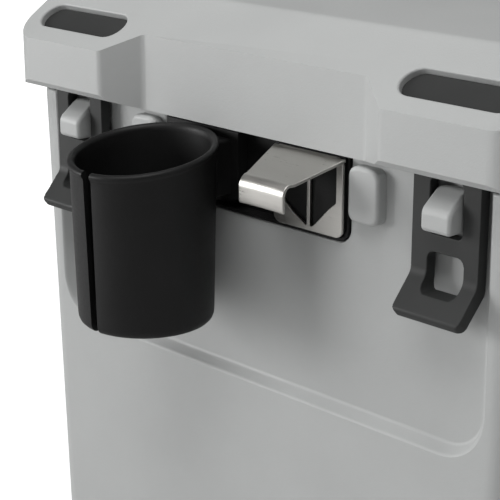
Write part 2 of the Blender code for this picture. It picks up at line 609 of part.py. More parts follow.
TYRE_PROFILE = [(62.3, 17.0), (70.0, 19.5), (79.0, 21.0), (86.0, 19.0), (89.6, 12.0), (90.0, 0.0), (89.6, -12.0), (86.0, -19.0), (79.0, -21.0), (70.0, -19.5), (62.3, -17.0), (62.3, 17.0)]
RIM_PROFILE = [(9.3, 21.5), (18.0, 21.5), (19.5, 8.0), (52.0, 5.0), (56.0, 16.5), (61.9, 17.0), (61.9, -17.0), (56.0, -16.5), (52.0, -3.0), (19.5, -5.0), (18.0, -21.5), (9.3, -21.5), (9.3, 21.5)]
for word, y0, out in (("front", WHEEL_FRONT_Y, -1), ("rear", WHEEL_REAR_Y, 1)):
    middle = y0 + WHEEL_WIDTH / 2
    centre = (WHEEL_X, middle, WHEEL_Z)
    axis = axis_empty("wheel_axis_" + word, *centre)
    add("tyre_" + word, turned(TYRE_PROFILE, centre, "Y", 32), TYRE_RUBBER, centre, axis)
    rim = add("wheel_rim_" + word, turned(RIM_PROFILE, centre, "Y", 32), RIM_PLASTIC, centre, axis)
    for k in range(5):
        turn = math.radians(90 + 72 * k)
        shape(rim, "rim_hole_%s_%d" % (word, k), rod((WHEEL_X + 36 * math.cos(turn), middle, WHEEL_Z + 36 * math.sin(turn)), "Y", 10.5, 60.0, 12))
    add("wheel_bush_" + word, turned([(6.4, 21.2), (8.95, 21.2), (8.95, -21.2), (6.4, -21.2), (6.4, 21.2)], centre, "Y", 24), NYLON, centre, axis)
    inner = middle - out * (WHEEL_WIDTH / 2 + 5.0)
    add("axle_spacer_" + word, turned([(6.4, 4.0), (13.0, 4.0), (13.0, -4.0), (6.4, -4.0), (6.4, 4.0)], (WHEEL_X, inner, WHEEL_Z), "Y", 20), NYLON)
    face = middle + out * (WHEEL_WIDTH / 2 + 2.4)
    add("axle_washer_" + word, turned([(6.4, 0.9), (14.0, 0.9), (14.0, -0.9), (6.4, -0.9), (6.4, 0.9)], (WHEEL_X, face, WHEEL_Z), "Y", 20), STEEL)
    cap = add("axle_cap_" + word, rod((WHEEL_X, face + out * 5.0, WHEEL_Z), "Y", 11.5, 7.4, 24, 1.2), BLACK_PLASTIC)
    shape(cap, "axle_cap_bore_" + word, rod((WHEEL_X, face + out * 0.0, WHEEL_Z), "Y", 6.4, 13.4, 20))

# ---------------------------------------------------------------------- feet
for word, y in (("front", 70.0), ("rear", 350.0)):
    add("foot_" + word, block((-202.0, y - 26.0, 0.0), (-150.0, y + 26.0, BASE_Z - GAP), 4.0, 2, lambda e: min(v.co.z for v in e.verts) < 1.0 or abs(e.verts[0].co.z - e.verts[1].co.z) > 1), SEAL_RUBBER)


# ---------------------------------------------------------------- tow handle
def wall_x(z):
    """Half width of the tub at a height."""
    return TUB_HALF_X - (SEAM_Z - z) / (SEAM_Z - BASE_Z) * TUB_DRAFT


def arc(centre, radius, start, end, steps):
    return [(centre[0] + radius * math.cos(math.radians(start + (end - start) * k / steps)), centre[1] + radius * math.sin(math.radians(start + (end - start) * k / steps))) for k in range(steps + 1)]


def bail(x, ys, top, bar_z, bend, radius, steps=6):
    """A U of round tube hanging in a plane of constant x."""
    path = [(x, ys[0], top)]
    path += [(x, y, z) for y, z in arc((ys[0] + bend, bar_z + bend), bend, 180, 270, steps)]
    path += [(x, y, z) for y, z in arc((ys[1] - bend, bar_z + bend), bend, 270, 360, steps)]
    path.append((x, ys[1], top))
    return tube(path, radius, 3)


tow_pivot = (TOW_X, sum(TOW_Y) / 2, TOW_Z)
tow_axis = axis_empty("tow_handle_axis", *tow_pivot)
tow = add("tow_handle_frame", bail(TOW_X, TOW_Y, TOW_Z + 9.0, TOW_BAR_Z, 26.0, 7.0), ALUMINIUM, tow_pivot, tow_axis)
shape(tow, "tow_bolt_holes", rod((TOW_X, 205.0, TOW_Z), "Y", 3.4, 260.0, 16))
add("tow_grip", turned([(7.35, 62.0), (12.0, 62.0), (13.5, 59.0), (13.5, -59.0), (12.0, -62.0), (7.35, -62.0), (7.35, 62.0)], (TOW_X, 205.0, TOW_BAR_Z), "Y", 24), SEAL_RUBBER, tow_pivot, tow_axis)
for word, y in (("front", TOW_Y[0]), ("rear", TOW_Y[1])):
    wall = -wall_x(418.0) - GAP
    clevis = add("tow_bracket_" + word, block((wall - 4.0, y - 15.0, 372.0), (wall, y + 15.0, 418.0), 1.5, 1), BLACK_PLASTIC)
    for end, tag in ((-1, "a"), (1, "b")):
        y0, y1 = sorted((y + end * 7.6, y + end * 13.0))
        cheek = outline(rounded([(wall - 3.0, 377.0), (wall - 3.0, 413.0), (TOW_X - 10.0, 404.0), (TOW_X - 10.0, 386.0)], [0, 0, 8, 8], 4), y0, y1, "XZ")
        shape(clevis, "tow_cheek_" + tag + word, cheek, "UNION")
    shape(clevis, "tow_bracket_bore_" + word, rod((TOW_X, y, TOW_Z), "Y", 3.4, 60.0, 16))
    bolt = add("tow_bolt_" + word, rod((TOW_X, y, TOW_Z), "Y", 3.0, 28.6, 16), STEEL)
    shape(bolt, "tow_bolt_head_" + word, rod((TOW_X, y - 15.6, TOW_Z), "Y", 6.2, 4.0, 6), "UNION")

# -------------------------------------------------------------- carry handle
carry_pivot = (CARRY_X, sum(CARRY_Y) / 2, CARRY_Z)
carry_axis = axis_empty("carry_handle_axis", *carry_pivot)
carry = add("carry_handle_frame", bail(CARRY_X, CARRY_Y, CARRY_Z + 8.0, CARRY_BAR_Z, 16.0, 4.5, 5), ALUMINIUM, carry_pivot, carry_axis)
shape(carry, "carry_bolt_holes", rod((CARRY_X, 205.0, CARRY_Z), "Y", 2.4, 180.0, 12))
add("carry_grip", turned([(4.85, 44.0), (9.5, 44.0), (11.0, 41.0), (11.0, -41.0), (9.5, -44.0), (4.85, -44.0), (4.85, 44.0)], (CARRY_X, 205.0, CARRY_BAR_Z), "Y", 24), SEAL_RUBBER, carry_pivot, carry_axis)
for word, y in (("front", CARRY_Y[0]), ("rear", CARRY_Y[1])):
    wall = wall_x(416.0) + GAP
    clevis = add("carry_bracket_" + word, block((wall, y - 11.0, 384.0), (wall + 3.5, y + 11.0, 416.0), 1.2, 1), BLACK_PLASTIC)
    for end, tag in ((-1, "a"), (1, "b")):
        y0, y1 = sorted((y + end * 5.1, y + end * 9.3))
        cheek = outline(rounded([(wall + 3.0, 388.0), (CARRY_X + 7.0, 393.5), (CARRY_X + 7.0, 406.5), (wall + 3.0, 412.0)], [0, 5.5, 5.5, 0], 4), y0, y1, "XZ")
        shape(clevis, "carry_cheek_" + tag + word, cheek, "UNION")
    shape(clevis, "carry_bracket_bore_" + word, rod((CARRY_X, y, CARRY_Z), "Y", 2.4, 50.0, 12))
    bolt = add("carry_bolt_" + word, rod((CARRY_X, y, CARRY_Z), "Y", 2.05, 20.4, 12), STEEL)
    shape(bolt, "carry_bolt_head_" + word, rod((CARRY_X, y - 11.4, CARRY_Z), "Y", 4.4, 3.0, 6), "UNION")

# --------------------------------------------------------------------- drain
drain_wall = -wall_x(DRAIN_Z + 18.0) - GAP
spigot = [(8.2, -186.0), (12.1, -186.0), (12.1, drain_wall), (18.0, drain_wall), (18.0, drain_wall - 3.0), (8.2, drain_wall - 3.0), (8.2, -186.0)]
add("drain_spigot", turned([(r, h) for r, h in spigot], (0.0, DRAIN_Y, DRAIN_Z), "X", 24), BLACK_PLASTIC)
add("drain_nut", turned([(13.7, -188.6), (20.0, -188.6), (20.0, -183.6), (13.7, -183.6), (13.7, -188.6)][::-1], (0.0, DRAIN_Y, DRAIN_Z), "X", 8), BLACK_PLASTIC)
plug_pivot = (drain_wall - 3.35, DRAIN_Y, DRAIN_Z)
plug_axis = axis_empty("drain_plug_axis", *plug_pivot)
plug_face = drain_wall - 3.0 - GAP
plug = add("drain_plug", turned([(0.0, plug_face + 26.0), (7.0, plug_face + 26.0), (7.8, plug_face + 24.0), (7.8, plug_face), (16.0, plug_face), (16.0, plug_face - 9.0), (14.5, plug_face - 11.0), (0.0, plug_face - 11.0)], (0.0, DRAIN_Y, DRAIN_Z), "X", 24), BLACK_PLASTIC, plug_pivot, plug_axis)
shape(plug, "drain_plug_grip_a", block((plug_face - 20, DRAIN_Y + 4.0, DRAIN_Z - 20), (plug_face - 4.5, DRAIN_Y + 20, DRAIN_Z + 20)))
shape(plug, "drain_plug_grip_b", block((plug_face - 20, DRAIN_Y - 20, DRAIN_Z - 20), (plug_face - 4.5, DRAIN_Y - 4.0, DRAIN_Z + 20)))
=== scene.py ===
"""Looks for the wheeled cooler box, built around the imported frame."""

import json
import math

import bmesh
import bpy
from mathutils import Matrix, Vector, noise

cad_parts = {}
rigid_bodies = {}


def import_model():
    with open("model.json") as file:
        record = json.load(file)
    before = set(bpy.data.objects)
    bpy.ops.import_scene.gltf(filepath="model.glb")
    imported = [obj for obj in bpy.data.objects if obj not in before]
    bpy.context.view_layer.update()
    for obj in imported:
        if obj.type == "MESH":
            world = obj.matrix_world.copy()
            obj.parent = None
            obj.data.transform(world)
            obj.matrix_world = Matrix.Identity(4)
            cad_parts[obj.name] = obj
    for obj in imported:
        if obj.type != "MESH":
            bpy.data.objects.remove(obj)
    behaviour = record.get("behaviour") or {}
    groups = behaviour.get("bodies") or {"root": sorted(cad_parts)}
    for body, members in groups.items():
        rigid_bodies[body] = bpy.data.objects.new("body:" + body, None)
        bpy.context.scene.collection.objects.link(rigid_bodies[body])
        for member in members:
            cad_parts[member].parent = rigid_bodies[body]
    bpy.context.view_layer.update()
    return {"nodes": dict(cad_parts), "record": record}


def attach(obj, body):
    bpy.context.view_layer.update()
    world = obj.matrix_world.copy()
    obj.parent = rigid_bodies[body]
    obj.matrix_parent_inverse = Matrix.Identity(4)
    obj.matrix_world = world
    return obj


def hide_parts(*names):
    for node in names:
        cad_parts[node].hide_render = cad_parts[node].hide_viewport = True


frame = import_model()
NODES = frame["nodes"]

MM = 0.001
CENTRE_X = 2.25
CENTRE_Y = 169.31
FACE_Z = 454.0  # height of the lower front edge of the lid's corner blocks

# ------------------------------------------------------------------- camera
camera_data = bpy.data.cameras.new("camera")
camera = bpy.data.objects.new("camera", camera_data)
bpy.context.scene.collection.objects.link(camera)
camera_data.sensor_width = 36.0
camera_data.lens = 36.0 * 1550.0 / 500.0
camera_data.clip_start, camera_data.clip_end = 0.01, 50.0
yaw, pitch = math.radians(44.647), math.radians(17.970)
look = Vector((-math.sin(yaw) * math.cos(pitch), math.cos(yaw) * math.cos(pitch), -math.sin(pitch)))
camera.location = Vector(((708.29 - CENTRE_X) * MM, (-694.99 - CENTRE_Y) * MM, (FACE_Z + 235.74) * MM))
camera.rotation_mode = "QUATERNION"
camera.rotation_quaternion = look.to_track_quat("-Z", "Y")
bpy.context.scene.camera = camera


# ---------------------------------------------------------------- materials
def sockets(shader, **values):
    for name, value in values.items():
        shader.inputs[name.replace("_", " ")].default_value = value


class Paint:
    """A small builder for node materials in object space."""

    def __init__(self, name):
        self.material = bpy.data.materials.new(name)
        self.material.use_nodes = True
        self.nodes = self.material.node_tree.nodes
        self.links = self.material.node_tree.links
        self.shader = self.nodes["Principled BSDF"]
        self.coord = self.nodes.new("ShaderNodeTexCoord").outputs["Object"]

    def link(self, a, b):
        self.links.new(a, b)

    def noise(self, scale, detail=3.0, rough=0.5, stretch=None):
        node = self.nodes.new("ShaderNodeTexNoise")
        node.inputs["Scale"].default_value = scale
        node.inputs["Detail"].default_value = detail
        node.inputs["Roughness"].default_value = rough
        if stretch:
            mapping = self.nodes.new("ShaderNodeMapping")
            mapping.inputs["Scale"].default_value = stretch
            self.link(self.coord, mapping.inputs["Vector"])
            self.link(mapping.outputs["Vector"], node.inputs["Vector"])
        else:
            self.link(self.coord, node.inputs["Vector"])
        return node.outputs["Fac"]

    def voronoi(self, scale):
        node = self.nodes.new("ShaderNodeTexVoronoi")
        node.inputs["Scale"].default_value = scale
        self.link(self.coord, node.inputs["Vector"])
        return node.outputs["Distance"]

    def ramp(self, value, low, high, a, b):
        node = self.nodes.new("ShaderNodeMapRange")
        node.inputs["From Min"].default_value = low
        node.inputs["From Max"].default_value = high
        node.inputs["To Min"].default_value = a
        node.inputs["To Max"].default_value = b
        self.link(value, node.inputs["Value"])
        return node.outputs["Result"]

    def mix(self, fac, a, b):
        node = self.nodes.new("ShaderNodeMix")
        node.data_type = "RGBA"
        for index, value in ((6, a), (7, b)):
            if isinstance(value, tuple):
                node.inputs[index].default_value = (*value, 1.0)
            else:
                self.link(value, node.inputs[index])
        if isinstance(fac, float):
            node.inputs[0].default_value = fac
        else:
            self.link(fac, node.inputs[0])
        return node.outputs[2]

    def math(self, operation, a, b):
        node = self.nodes.new("ShaderNodeMath")
        node.operation = operation
        for index, value in ((0, a), (1, b)):
            if isinstance(value, (int, float)):
                node.inputs[index].default_value = value
            else:
                self.link(value, node.inputs[index])
        return node.outputs[0]

    def edges(self, low, high):
        """Mask for painted light: brighter on convex edges, darker in hollows."""
        node = self.nodes.new("ShaderNodeNewGeometry")
        return self.ramp(node.outputs["Pointiness"], low, high, 0.0, 1.0)

    def bump(self, height, strength, distance, after=None):
        node = self.nodes.new("ShaderNodeBump")
        node.inputs["Strength"].default_value = strength
        node.inputs["Distance"].default_value = distance
        self.link(height, node.inputs["Height"])
        if after is not None:
            self.link(after, node.inputs["Normal"])
        return node.outputs["Normal"]

    def colour(self, output):
        self.link(output, self.shader.inputs["Base Color"])

    def rough(self, output):
        self.link(output, self.shader.inputs["Roughness"])

    def normal(self, output):
        self.link(output, self.shader.inputs["Normal"])


def moulded_plastic(name, colour, lighter, darker, roughness, grain, mottle=10.0):
    """Rotomoulded or injection-moulded plastic: fine grain, slow mottling, and a painted highlight on convex edges."""
    p = Paint(name)
    slow = p.noise(mottle, 4.0, 0.55)
    fine = p.noise(420.0, 3.0, 0.6)
    specks = p.voronoi(900.0)
    tone = p.mix(p.ramp(slow, 0.35, 0.65, 0.0, 1.0), darker, lighter)
    tone = p.mix(0.5, tone, colour)
    tone = p.mix(p.ramp(fine, 0.3, 0.7, 0.0, 0.10), tone, darker)
    # Painted highlight: convex edges are lightened toward the lighter tone.
    tone = p.mix(p.math("MULTIPLY", p.edges(0.51, 0.56), 0.25), tone, lighter)
    p.colour(tone)
    p.rough(p.math("ADD", p.ramp(slow, 0.3, 0.7, roughness - 0.04, roughness + 0.04), p.ramp(fine, 0.3, 0.7, -0.03, 0.03)))
    first = p.bump(fine, 0.30 * grain, 0.00025)
    second = p.bump(specks, 0.18 * grain, 0.0002, first)
    p.normal(p.bump(p.noise(22.0, 2.0, 0.5), 0.10 * grain, 0.0015, second))
    sockets(p.shader, IOR=1.49)
    return p.material


SHELL = moulded_plastic("shell_grey", (0.475, 0.485, 0.480), (0.500, 0.510, 0.505), (0.445, 0.453, 0.450), 0.50, 1.0)
LINER = moulded_plastic("liner_white", (0.80, 0.81, 0.80), (0.84, 0.85, 0.84), (0.74, 0.75, 0.745), 0.32, 0.4)
BLACK = moulded_plastic("black_plastic", (0.0062, 0.0062, 0.0064), (0.0095, 0.0095, 0.0097), (0.0045, 0.0045, 0.0045), 0.50, 0.7, 30.0)
sockets(BLACK.node_tree.nodes["Principled BSDF"], Specular_IOR_Level=0.30)
RIM = moulded_plastic("rim_plastic", (0.080, 0.082, 0.080), (0.105, 0.107, 0.105), (0.06, 0.061, 0.06), 0.45, 0.8, 20.0)
NYLON = moulded_plastic("nylon", (0.72, 0.71, 0.66), (0.78, 0.77, 0.72), (0.62, 0.61, 0.56), 0.45, 0.5, 40.0)


def rubber(name, colour, dust_and_highlight_tone, roughness, scale=650.0):
    p = Paint(name)
    fine = p.noise(scale, 4.0, 0.65)
    slow = p.noise(24.0, 4.0, 0.6)
    dust = p.math("MULTIPLY", p.ramp(slow, 0.42, 0.75, 0.0, 0.5), p.ramp(fine, 0.3, 0.7, 0.4, 1.0))
    tone = p.mix(dust, colour, dust_and_highlight_tone)
    # Painted highlight: convex edges are lightened toward the same tone as the dust.
    tone = p.mix(p.math("MULTIPLY", p.edges(0.51, 0.58), 0.4), tone, dust_and_highlight_tone)
    p.colour(tone)
    p.rough(p.ramp(slow, 0.3, 0.7, roughness - 0.06, roughness + 0.07))
    p.normal(p.bump(fine, 0.35, 0.0002, p.bump(p.noise(130.0, 2.0, 0.5), 0.12, 0.0004)))
    sockets(p.shader, IOR=1.52)
    return p.material


STRAP = rubber("latch_rubber", (0.0275, 0.0285, 0.028), (0.041, 0.042, 0.0415), 0.55)
sockets(STRAP.node_tree.nodes["Principled BSDF"], Specular_IOR_Level=0.35)
SEAL = rubber("seal_rubber", (0.060, 0.060, 0.061), (0.095, 0.095, 0.095), 0.68)
TYRE = rubber("tyre_rubber", (0.017, 0.017, 0.018), (0.050, 0.048, 0.045), 0.74, 500.0)


def brushed(name, colour, roughness, stretch, tone=0.10):
    p = Paint(name)
    lines = p.noise(1.0, 5.0, 0.7, stretch)
    cloud = p.noise(60.0, 3.0, 0.5)
    dark = tuple(c * (1.0 - tone) for c in colour)
    light = tuple(min(1.0, c * (1.0 + tone * 0.6)) for c in colour)
    p.colour(p.mix(p.ramp(lines, 0.35, 0.65, 0.0, 1.0), dark, light))
    p.rough(p.math("ADD", p.ramp(lines, 0.3, 0.7, roughness - 0.06, roughness + 0.08), p.ramp(cloud, 0.3, 0.7, -0.03, 0.04)))
    p.normal(p.bump(lines, 0.12, 0.00008))
    sockets(p.shader, Metallic=1.0)
    return p.material


STEEL = brushed("steel", (0.56, 0.548, 0.52), 0.33, (60.0, 900.0, 900.0), 0.04)
ALUMINIUM = brushed("aluminium", (0.72, 0.72, 0.73), 0.34, (900.0, 900.0, 60.0), 0.06)


def foam_material():
    p = Paint("foam")
    cells = p.voronoi(700.0)
    slow = p.noise(30.0, 4.0, 0.6)
    p.colour(p.mix(p.ramp(slow, 0.3, 0.7, 0.0, 1.0), (0.78, 0.68, 0.42), (0.88, 0.80, 0.58)))
    p.rough(p.ramp(slow, 0.3, 0.7, 0.85, 0.95))
    p.normal(p.bump(cells, 0.6, 0.0006))
    return p.material


FOAM = foam_material()
BY_SLOT = {
    "shell_grey": SHELL, "liner_white": LINER, "foam": FOAM, "latch_rubber": STRAP, "black_plastic": BLACK, "steel": STEEL,
    "seal_rubber": SEAL, "tyre_rubber": TYRE, "rim_plastic": RIM, "aluminium": ALUMINIUM, "nylon": NYLON,
}
SLOT_OF = {row["node"]: row["material_slot"] for row in frame["record"]["subparts"]}


# -------------------------------------------------------------- mesh helpers
def bake(obj):
    graph = bpy.context.evaluated_depsgraph_get()
    mesh = bpy.data.meshes.new_from_object(obj.evaluated_get(graph))
    bm = bmesh.new()
    bm.from_mesh(mesh)
    bpy.data.meshes.remove(mesh)
    data = obj.data
    bpy.data.objects.remove(obj, do_unlink=True)
    (bpy.data.curves if isinstance(data, bpy.types.Curve) else bpy.data.meshes).remove(data)
    return bm


def helper(data):
    obj = bpy.data.objects.new("helper", data)
    bpy.context.scene.collection.objects.link(obj)
    return obj


def as_object(bm):
    mesh = bpy.data.meshes.new("helper")
    bm.to_mesh(mesh)
    bm.free()
    return helper(mesh)


def block(low, high, bevel=0.0, segments=3, edges=None):
    bm = bmesh.new()
    bmesh.ops.create_cube(bm, size=1.0)
    bmesh.ops.scale(bm, vec=[high[i] - low[i] for i in range(3)], verts=bm.verts)
    bmesh.ops.translate(bm, vec=[(high[i] + low[i]) / 2 for i in range(3)], verts=bm.verts)
    if bevel:
        chosen = [e for e in bm.edges if edges is None or edges(e)]
        bmesh.ops.bevel(bm, geom=chosen, offset=bevel, segments=segments, affect="EDGES", profile=0.5)
    return bm


def along(axis):
    return {"X": Matrix.Rotation(math.radians(90), 4, "Y"), "Y": Matrix.Rotation(math.radians(-90), 4, "X"), "Z": Matrix.Identity(4)}[axis]


def rod(centre, axis, radius, length, segments=48, bevel=0.0):
    bm = bmesh.new()
    bmesh.ops.create_cone(bm, cap_ends=True, segments=segments, radius1=radius, radius2=radius, depth=length)
    if bevel:
        rims = [e for e in bm.edges if abs(e.verts[0].co.z - e.verts[1].co.z) < 1e-4]
        bmesh.ops.bevel(bm, geom=rims, offset=bevel, segments=3, affect="EDGES", profile=0.5)
    bm.transform(Matrix.Translation(Vector(centre)) @ along(axis))
    return bm


def outline(points, low, high, plane):
    curve = bpy.data.curves.new("outline", "CURVE")
    curve.dimensions = "2D"
    curve.fill_mode = "BOTH"
    curve.extrude = (high - low) / 2
    spline = curve.splines.new("POLY")
    spline.points.add(len(points) - 1)
    for point, (u, v) in zip(spline.points, points):
        point.co = (u, v, 0.0, 1.0)
    spline.use_cyclic_u = True
    bm = bake(helper(curve))
    bmesh.ops.remove_doubles(bm, verts=bm.verts, dist=0.001)
    middle = (low + high) / 2
    if plane == "XY":
        turn = Matrix.Translation((0, 0, middle))
    elif plane == "XZ":
        turn = Matrix.Translation((0, middle, 0)) @ Matrix(((1, 0, 0, 0), (0, 0, -1, 0), (0, 1, 0, 0), (0, 0, 0, 1)))
    else:
        turn = Matrix.Translation((middle, 0, 0)) @ Matrix(((0, 0, 1, 0), (1, 0, 0, 0), (0, 1, 0, 0), (0, 0, 0, 1)))
    bm.transform(turn)
    bmesh.ops.recalc_face_normals(bm, faces=bm.faces)
    return bm


def turned(profile, centre, axis, segments=96):
    mesh = bpy.data.meshes.new("profile")
    mesh.from_pydata([(r, 0.0, h) for r, h in profile], [(i, i + 1) for i in range(len(profile) - 1)], [])
    obj = helper(mesh)
    screw = obj.modifiers.new("turn", "SCREW")
    screw.steps = screw.render_steps = segments
    screw.use_merge_vertices = True
    screw.merge_threshold = 0.0001
    bm = bake(obj)
    bmesh.ops.remove_doubles(bm, verts=bm.verts, dist=0.001)
    bmesh.ops.recalc_face_normals(bm, faces=bm.faces)
    bm.transform(Matrix.Translation(Vector(centre)) @ along(axis))
    return bm


def tube(points, radius, resolution=6):
    curve = bpy.data.curves.new("tube", "CURVE")
    curve.dimensions = "3D"
    curve.bevel_depth = radius
    curve.bevel_resolution = resolution
    curve.use_fill_caps = True
    spline = curve.splines.new("POLY")
    spline.points.add(len(points) - 1)
    for point, co in zip(spline.points, points):
        point.co = (*co, 1.0)
    bm = bake(helper(curve))
    bmesh.ops.remove_doubles(bm, verts=bm.verts, dist=0.001)
    bmesh.ops.recalc_face_normals(bm, faces=bm.faces)
    return bm


def loft(rings):
    bm = bmesh.new()
    rows = [[bm.verts.new(p) for p in ring] for ring in rings]
    count = len(rows[0])
    for a, b in zip(rows, rows[1:]):
        for i in range(count):
            bm.faces.new((a[i], a[(i + 1) % count], b[(i + 1) % count], b[i]))
    bm.faces.new(rows[0])
    bm.faces.new(rows[-1])
    bmesh.ops.recalc_face_normals(bm, faces=bm.faces)
    return bm


def rounded(points, radii, steps=8):
    made = []
    count = len(points)
    for i in range(count):
        here = Vector(points[i])
        radius = radii[i] if isinstance(radii, (list, tuple)) else radii
        if radius <= 0:
            made.append(tuple(here))
            continue
        back = (Vector(points[i - 1]) - here).normalized()
        on = (Vector(points[(i + 1) % count]) - here).normalized()
        half = math.acos(max(-1.0, min(1.0, back.dot(on)))) / 2
        reach = radius / math.tan(half)
        centre = here + (back + on).normalized() * (radius / math.sin(half))
        start = here + back * reach - centre
        end = here + on * reach - centre
        sweep = math.atan2(start.x * end.y - start.y * end.x, start.dot(end))
        for k in range(steps + 1):
            turn = sweep * k / steps
            c, s = math.cos(turn), math.sin(turn)
            made.append((centre.x + start.x * c - start.y * s, centre.y + start.x * s + start.y * c))
    return made


def box_outline(x0, y0, x1, y1, radius, steps=8):
    return rounded([(x0, y0), (x1, y0), (x1, y1), (x0, y1)], radius, steps)


def stadium(half_length, radius, steps=16):
    made = []
    for side, start in ((1, -90), (-1, 90)):
        for k in range(steps + 1):
            turn = math.radians(start + 180 * k / steps)
            made.append((side * (half_length - radius) + radius * math.cos(turn), radius * math.sin(turn)))
    return made


def combine(base, *steps):
    """Exact Booleans in turn: ("-", bm), ("+", bm) or ("&", bm). Everything is in design millimetres."""
    obj = as_object(base)
    tools = []
    for sign, bm in steps:
        tool = as_object(bm)
        modifier = obj.modifiers.new("b", "BOOLEAN")
        modifier.operation = {"-": "DIFFERENCE", "+": "UNION", "&": "INTERSECT"}[sign]
        modifier.solver = "EXACT"
        modifier.object = tool
        tools.append(tool)
    bm = bake(obj)
    for tool in tools:
        data = tool.data
        bpy.data.objects.remove(tool, do_unlink=True)
        bpy.data.meshes.remove(data)
    return bm


def soften(bm, voxel, rounds, keep=0.2, factor=0.5):
    """Moulded edges: an even skin over the solid, relaxed, then thinned where it is flat."""
    obj = as_object(bm)
    remesh = obj.modifiers.new("skin", "REMESH")
    remesh.mode = "VOXEL"
    remesh.voxel_size = voxel
    remesh.adaptivity = 0.0
    relax = obj.modifiers.new("relax", "SMOOTH")
    relax.factor = factor
    relax.iterations = rounds
    if keep < 1.0:
        thin = obj.modifiers.new("thin", "DECIMATE")
        thin.ratio = keep
    return bake(obj)


def to_world(bm):
    bm.transform(Matrix.Translation(Vector((-CENTRE_X, -CENTRE_Y, 0.0))))
    bmesh.ops.scale(bm, vec=(MM, MM, MM), verts=bm.verts)
    return bm


def piece(name, bm, body, slot, replaced=(), material=None, sharp=None):
    """A finished piece from a design-space mesh."""
    to_world(bm)
    mesh = bpy.data.meshes.new(name)
    bm.to_mesh(mesh)
    bm.free()
    mesh.materials.append(material or BY_SLOT[slot])
    mesh.shade_smooth()
    if sharp is not None:
        mesh.set_sharp_from_angle(angle=math.radians(sharp))
    obj = bpy.data.objects.new(name, mesh)
    bpy.context.scene.collection.objects.link(obj)
    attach(obj, body)
    if replaced:
        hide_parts(*replaced)
    return obj


def node_mesh(name):
    """A copy of a CAD node's solid in design millimetres."""
    bm = bmesh.new()
    bm.from_mesh(NODES[name].data)
    bm.transform(NODES[name].matrix_world)
    bmesh.ops.scale(bm, vec=(1000.0, 1000.0, 1000.0), verts=bm.verts)
    bm.transform(Matrix.Translation(Vector((CENTRE_X, CENTRE_Y, 0.0))))
    bmesh.ops.remove_doubles(bm, verts=bm.verts, dist=0.01)
    bmesh.ops.recalc_face_normals(bm, faces=bm.faces)
    return bm


# ------------------------------------------------------- shared dimensions
SEAM_Z, BASE_Z = 444.0, 14.0
TUB_HALF_X, TUB_FRONT_Y, TUB_REAR_Y, TUB_DRAFT = 226.0, 18.2, 402.0, 6.0
PANEL_LEAN = 0.0135
WHEEL_X, WHEEL_Z, WELL_R = 172.0, 90.0, 97.0
LATCH_X = 170.65
LATCH_AXIS = (19.3, 456.0)
HINGE = (413.5, 444.35)
LID_HALF_X, LID_REAR_Y = 228.0, 405.0
LID_EDGE_Z, LID_UNDER_Z, LID_TOP_Z, LID_SLOPE, LID_FACE_Z = 454.0, 444.7, 523.2, 0.64, 485.7
OPENER_X = 53.9
CUP_X, CUP_Y, CUP_TILT, RIM_Z = -49.5, -29.5, 0.154, 435.2


def upright(e):
    return abs(e.verts[0].co.z - e.verts[1].co.z) > 1


def smoothstep(t):
    t = max(0.0, min(1.0, t))
    return t * t * (3 - 2 * t)


# --------------------------------------------------------------------- tub
def tub_ring(z, inset, radius, steps=10):
    down = (SEAM_Z - z) / (SEAM_Z - BASE_Z) * TUB_DRAFT
    lean = down + inset
    ring = box_outline(-TUB_HALF_X + lean, TUB_FRONT_Y + lean, TUB_HALF_X - lean, TUB_REAR_Y - lean, radius, steps)
    return [(x, y, z) for x, y in ring]


def rolled_rings(z_edge, toward, radius, corner, count=5):
    """Rings that round the tub's outer edge off at one end."""
    made = []
    for k in range(count + 1):
        turn = math.radians(90 * k / count)
        inset = radius * (1 - math.cos(turn))
        drop = radius * (1 - math.sin(turn))
        made.append(tub_ring(z_edge + toward * (radius - drop), inset, corner))
    return made


tub = loft(rolled_rings(BASE_Z + 9.0, -1.0, 9.0, 20.0)[::-1] + rolled_rings(SEAM_Z - 2.0, 1.0, 2.0, 20.0))


def panel_ring(y, grow, steps=10):
    """One contour of the shallow front panel; grow runs out along its sloping border."""
    low = 272.6 - grow * 0.75
    half = 196.0 + grow * 0.65
    flat = rounded([(-half, low), (half, low), (half, SEAM_Z + 12), (-half, SEAM_Z + 12)], [26.0 + grow, 26.0 + grow, 0, 0], steps)
    return [(x, y + PANEL_LEAN * (SEAM_Z - z), z) for x, z in flat]


# The border's section: a small fillet at the floor, a slope, and a rounded outer edge.
section = []
for k in range(6):
    t = k / 5
    section.append((26.0 - 1.6 * t * t * 0.6, -2.2 + 3.6 * t))
for grow, y in ((3.2, 23.7), (5.4, 21.4), (6.8, 19.9)):
    section.append((y, grow))
for k in range(1, 7):
    t = k / 6
    section.append((19.9 - 1.9 * t - 0.35 * t * t, 6.8 + 1.4 * t + 3.2 * t * t))
section.append((8.0, 22.0))
panel_cut = loft([panel_ring(y, grow) for y, grow in section])

pads = []
for side in (-1, 1):
    x0, x1 = sorted((side * 90.6, side * 115.6))
    middle, half = (x0 + x1) / 2, (x1 - x0) / 2
    rings = []
    for inset, y in ((0.0, 33.0), (0.0, 19.6), (0.25, 18.7), (0.8, 17.9), (1.6, 17.3), (2.6, 17.1)):
        flat = box_outline(x0 + inset, 403.6 + inset, x1 - inset, 440.6 - inset, 6.5 - inset * 0.5, 8)
        rings.append([(x, y + 0.2, z) for x, z in flat])
    pads.append(loft(rings))

pocket = loft([
    [(x, y, z) for x, z in rounded([(-86.0 - g, 385.2 - g), (86.0 + g, 385.2 - g), (86.0 + g, SEAM_Z + 8), (-86.0 - g, SEAM_Z + 8)], [10 + g, 10 + g, 0, 0], 8)]
    for g, y in ((0.0, 38.5), (0.0, 28.4), (0.25, 27.6), (0.8, 26.9), (1.7, 26.5), (3.2, 26.0), (6.0, 20.0))
])


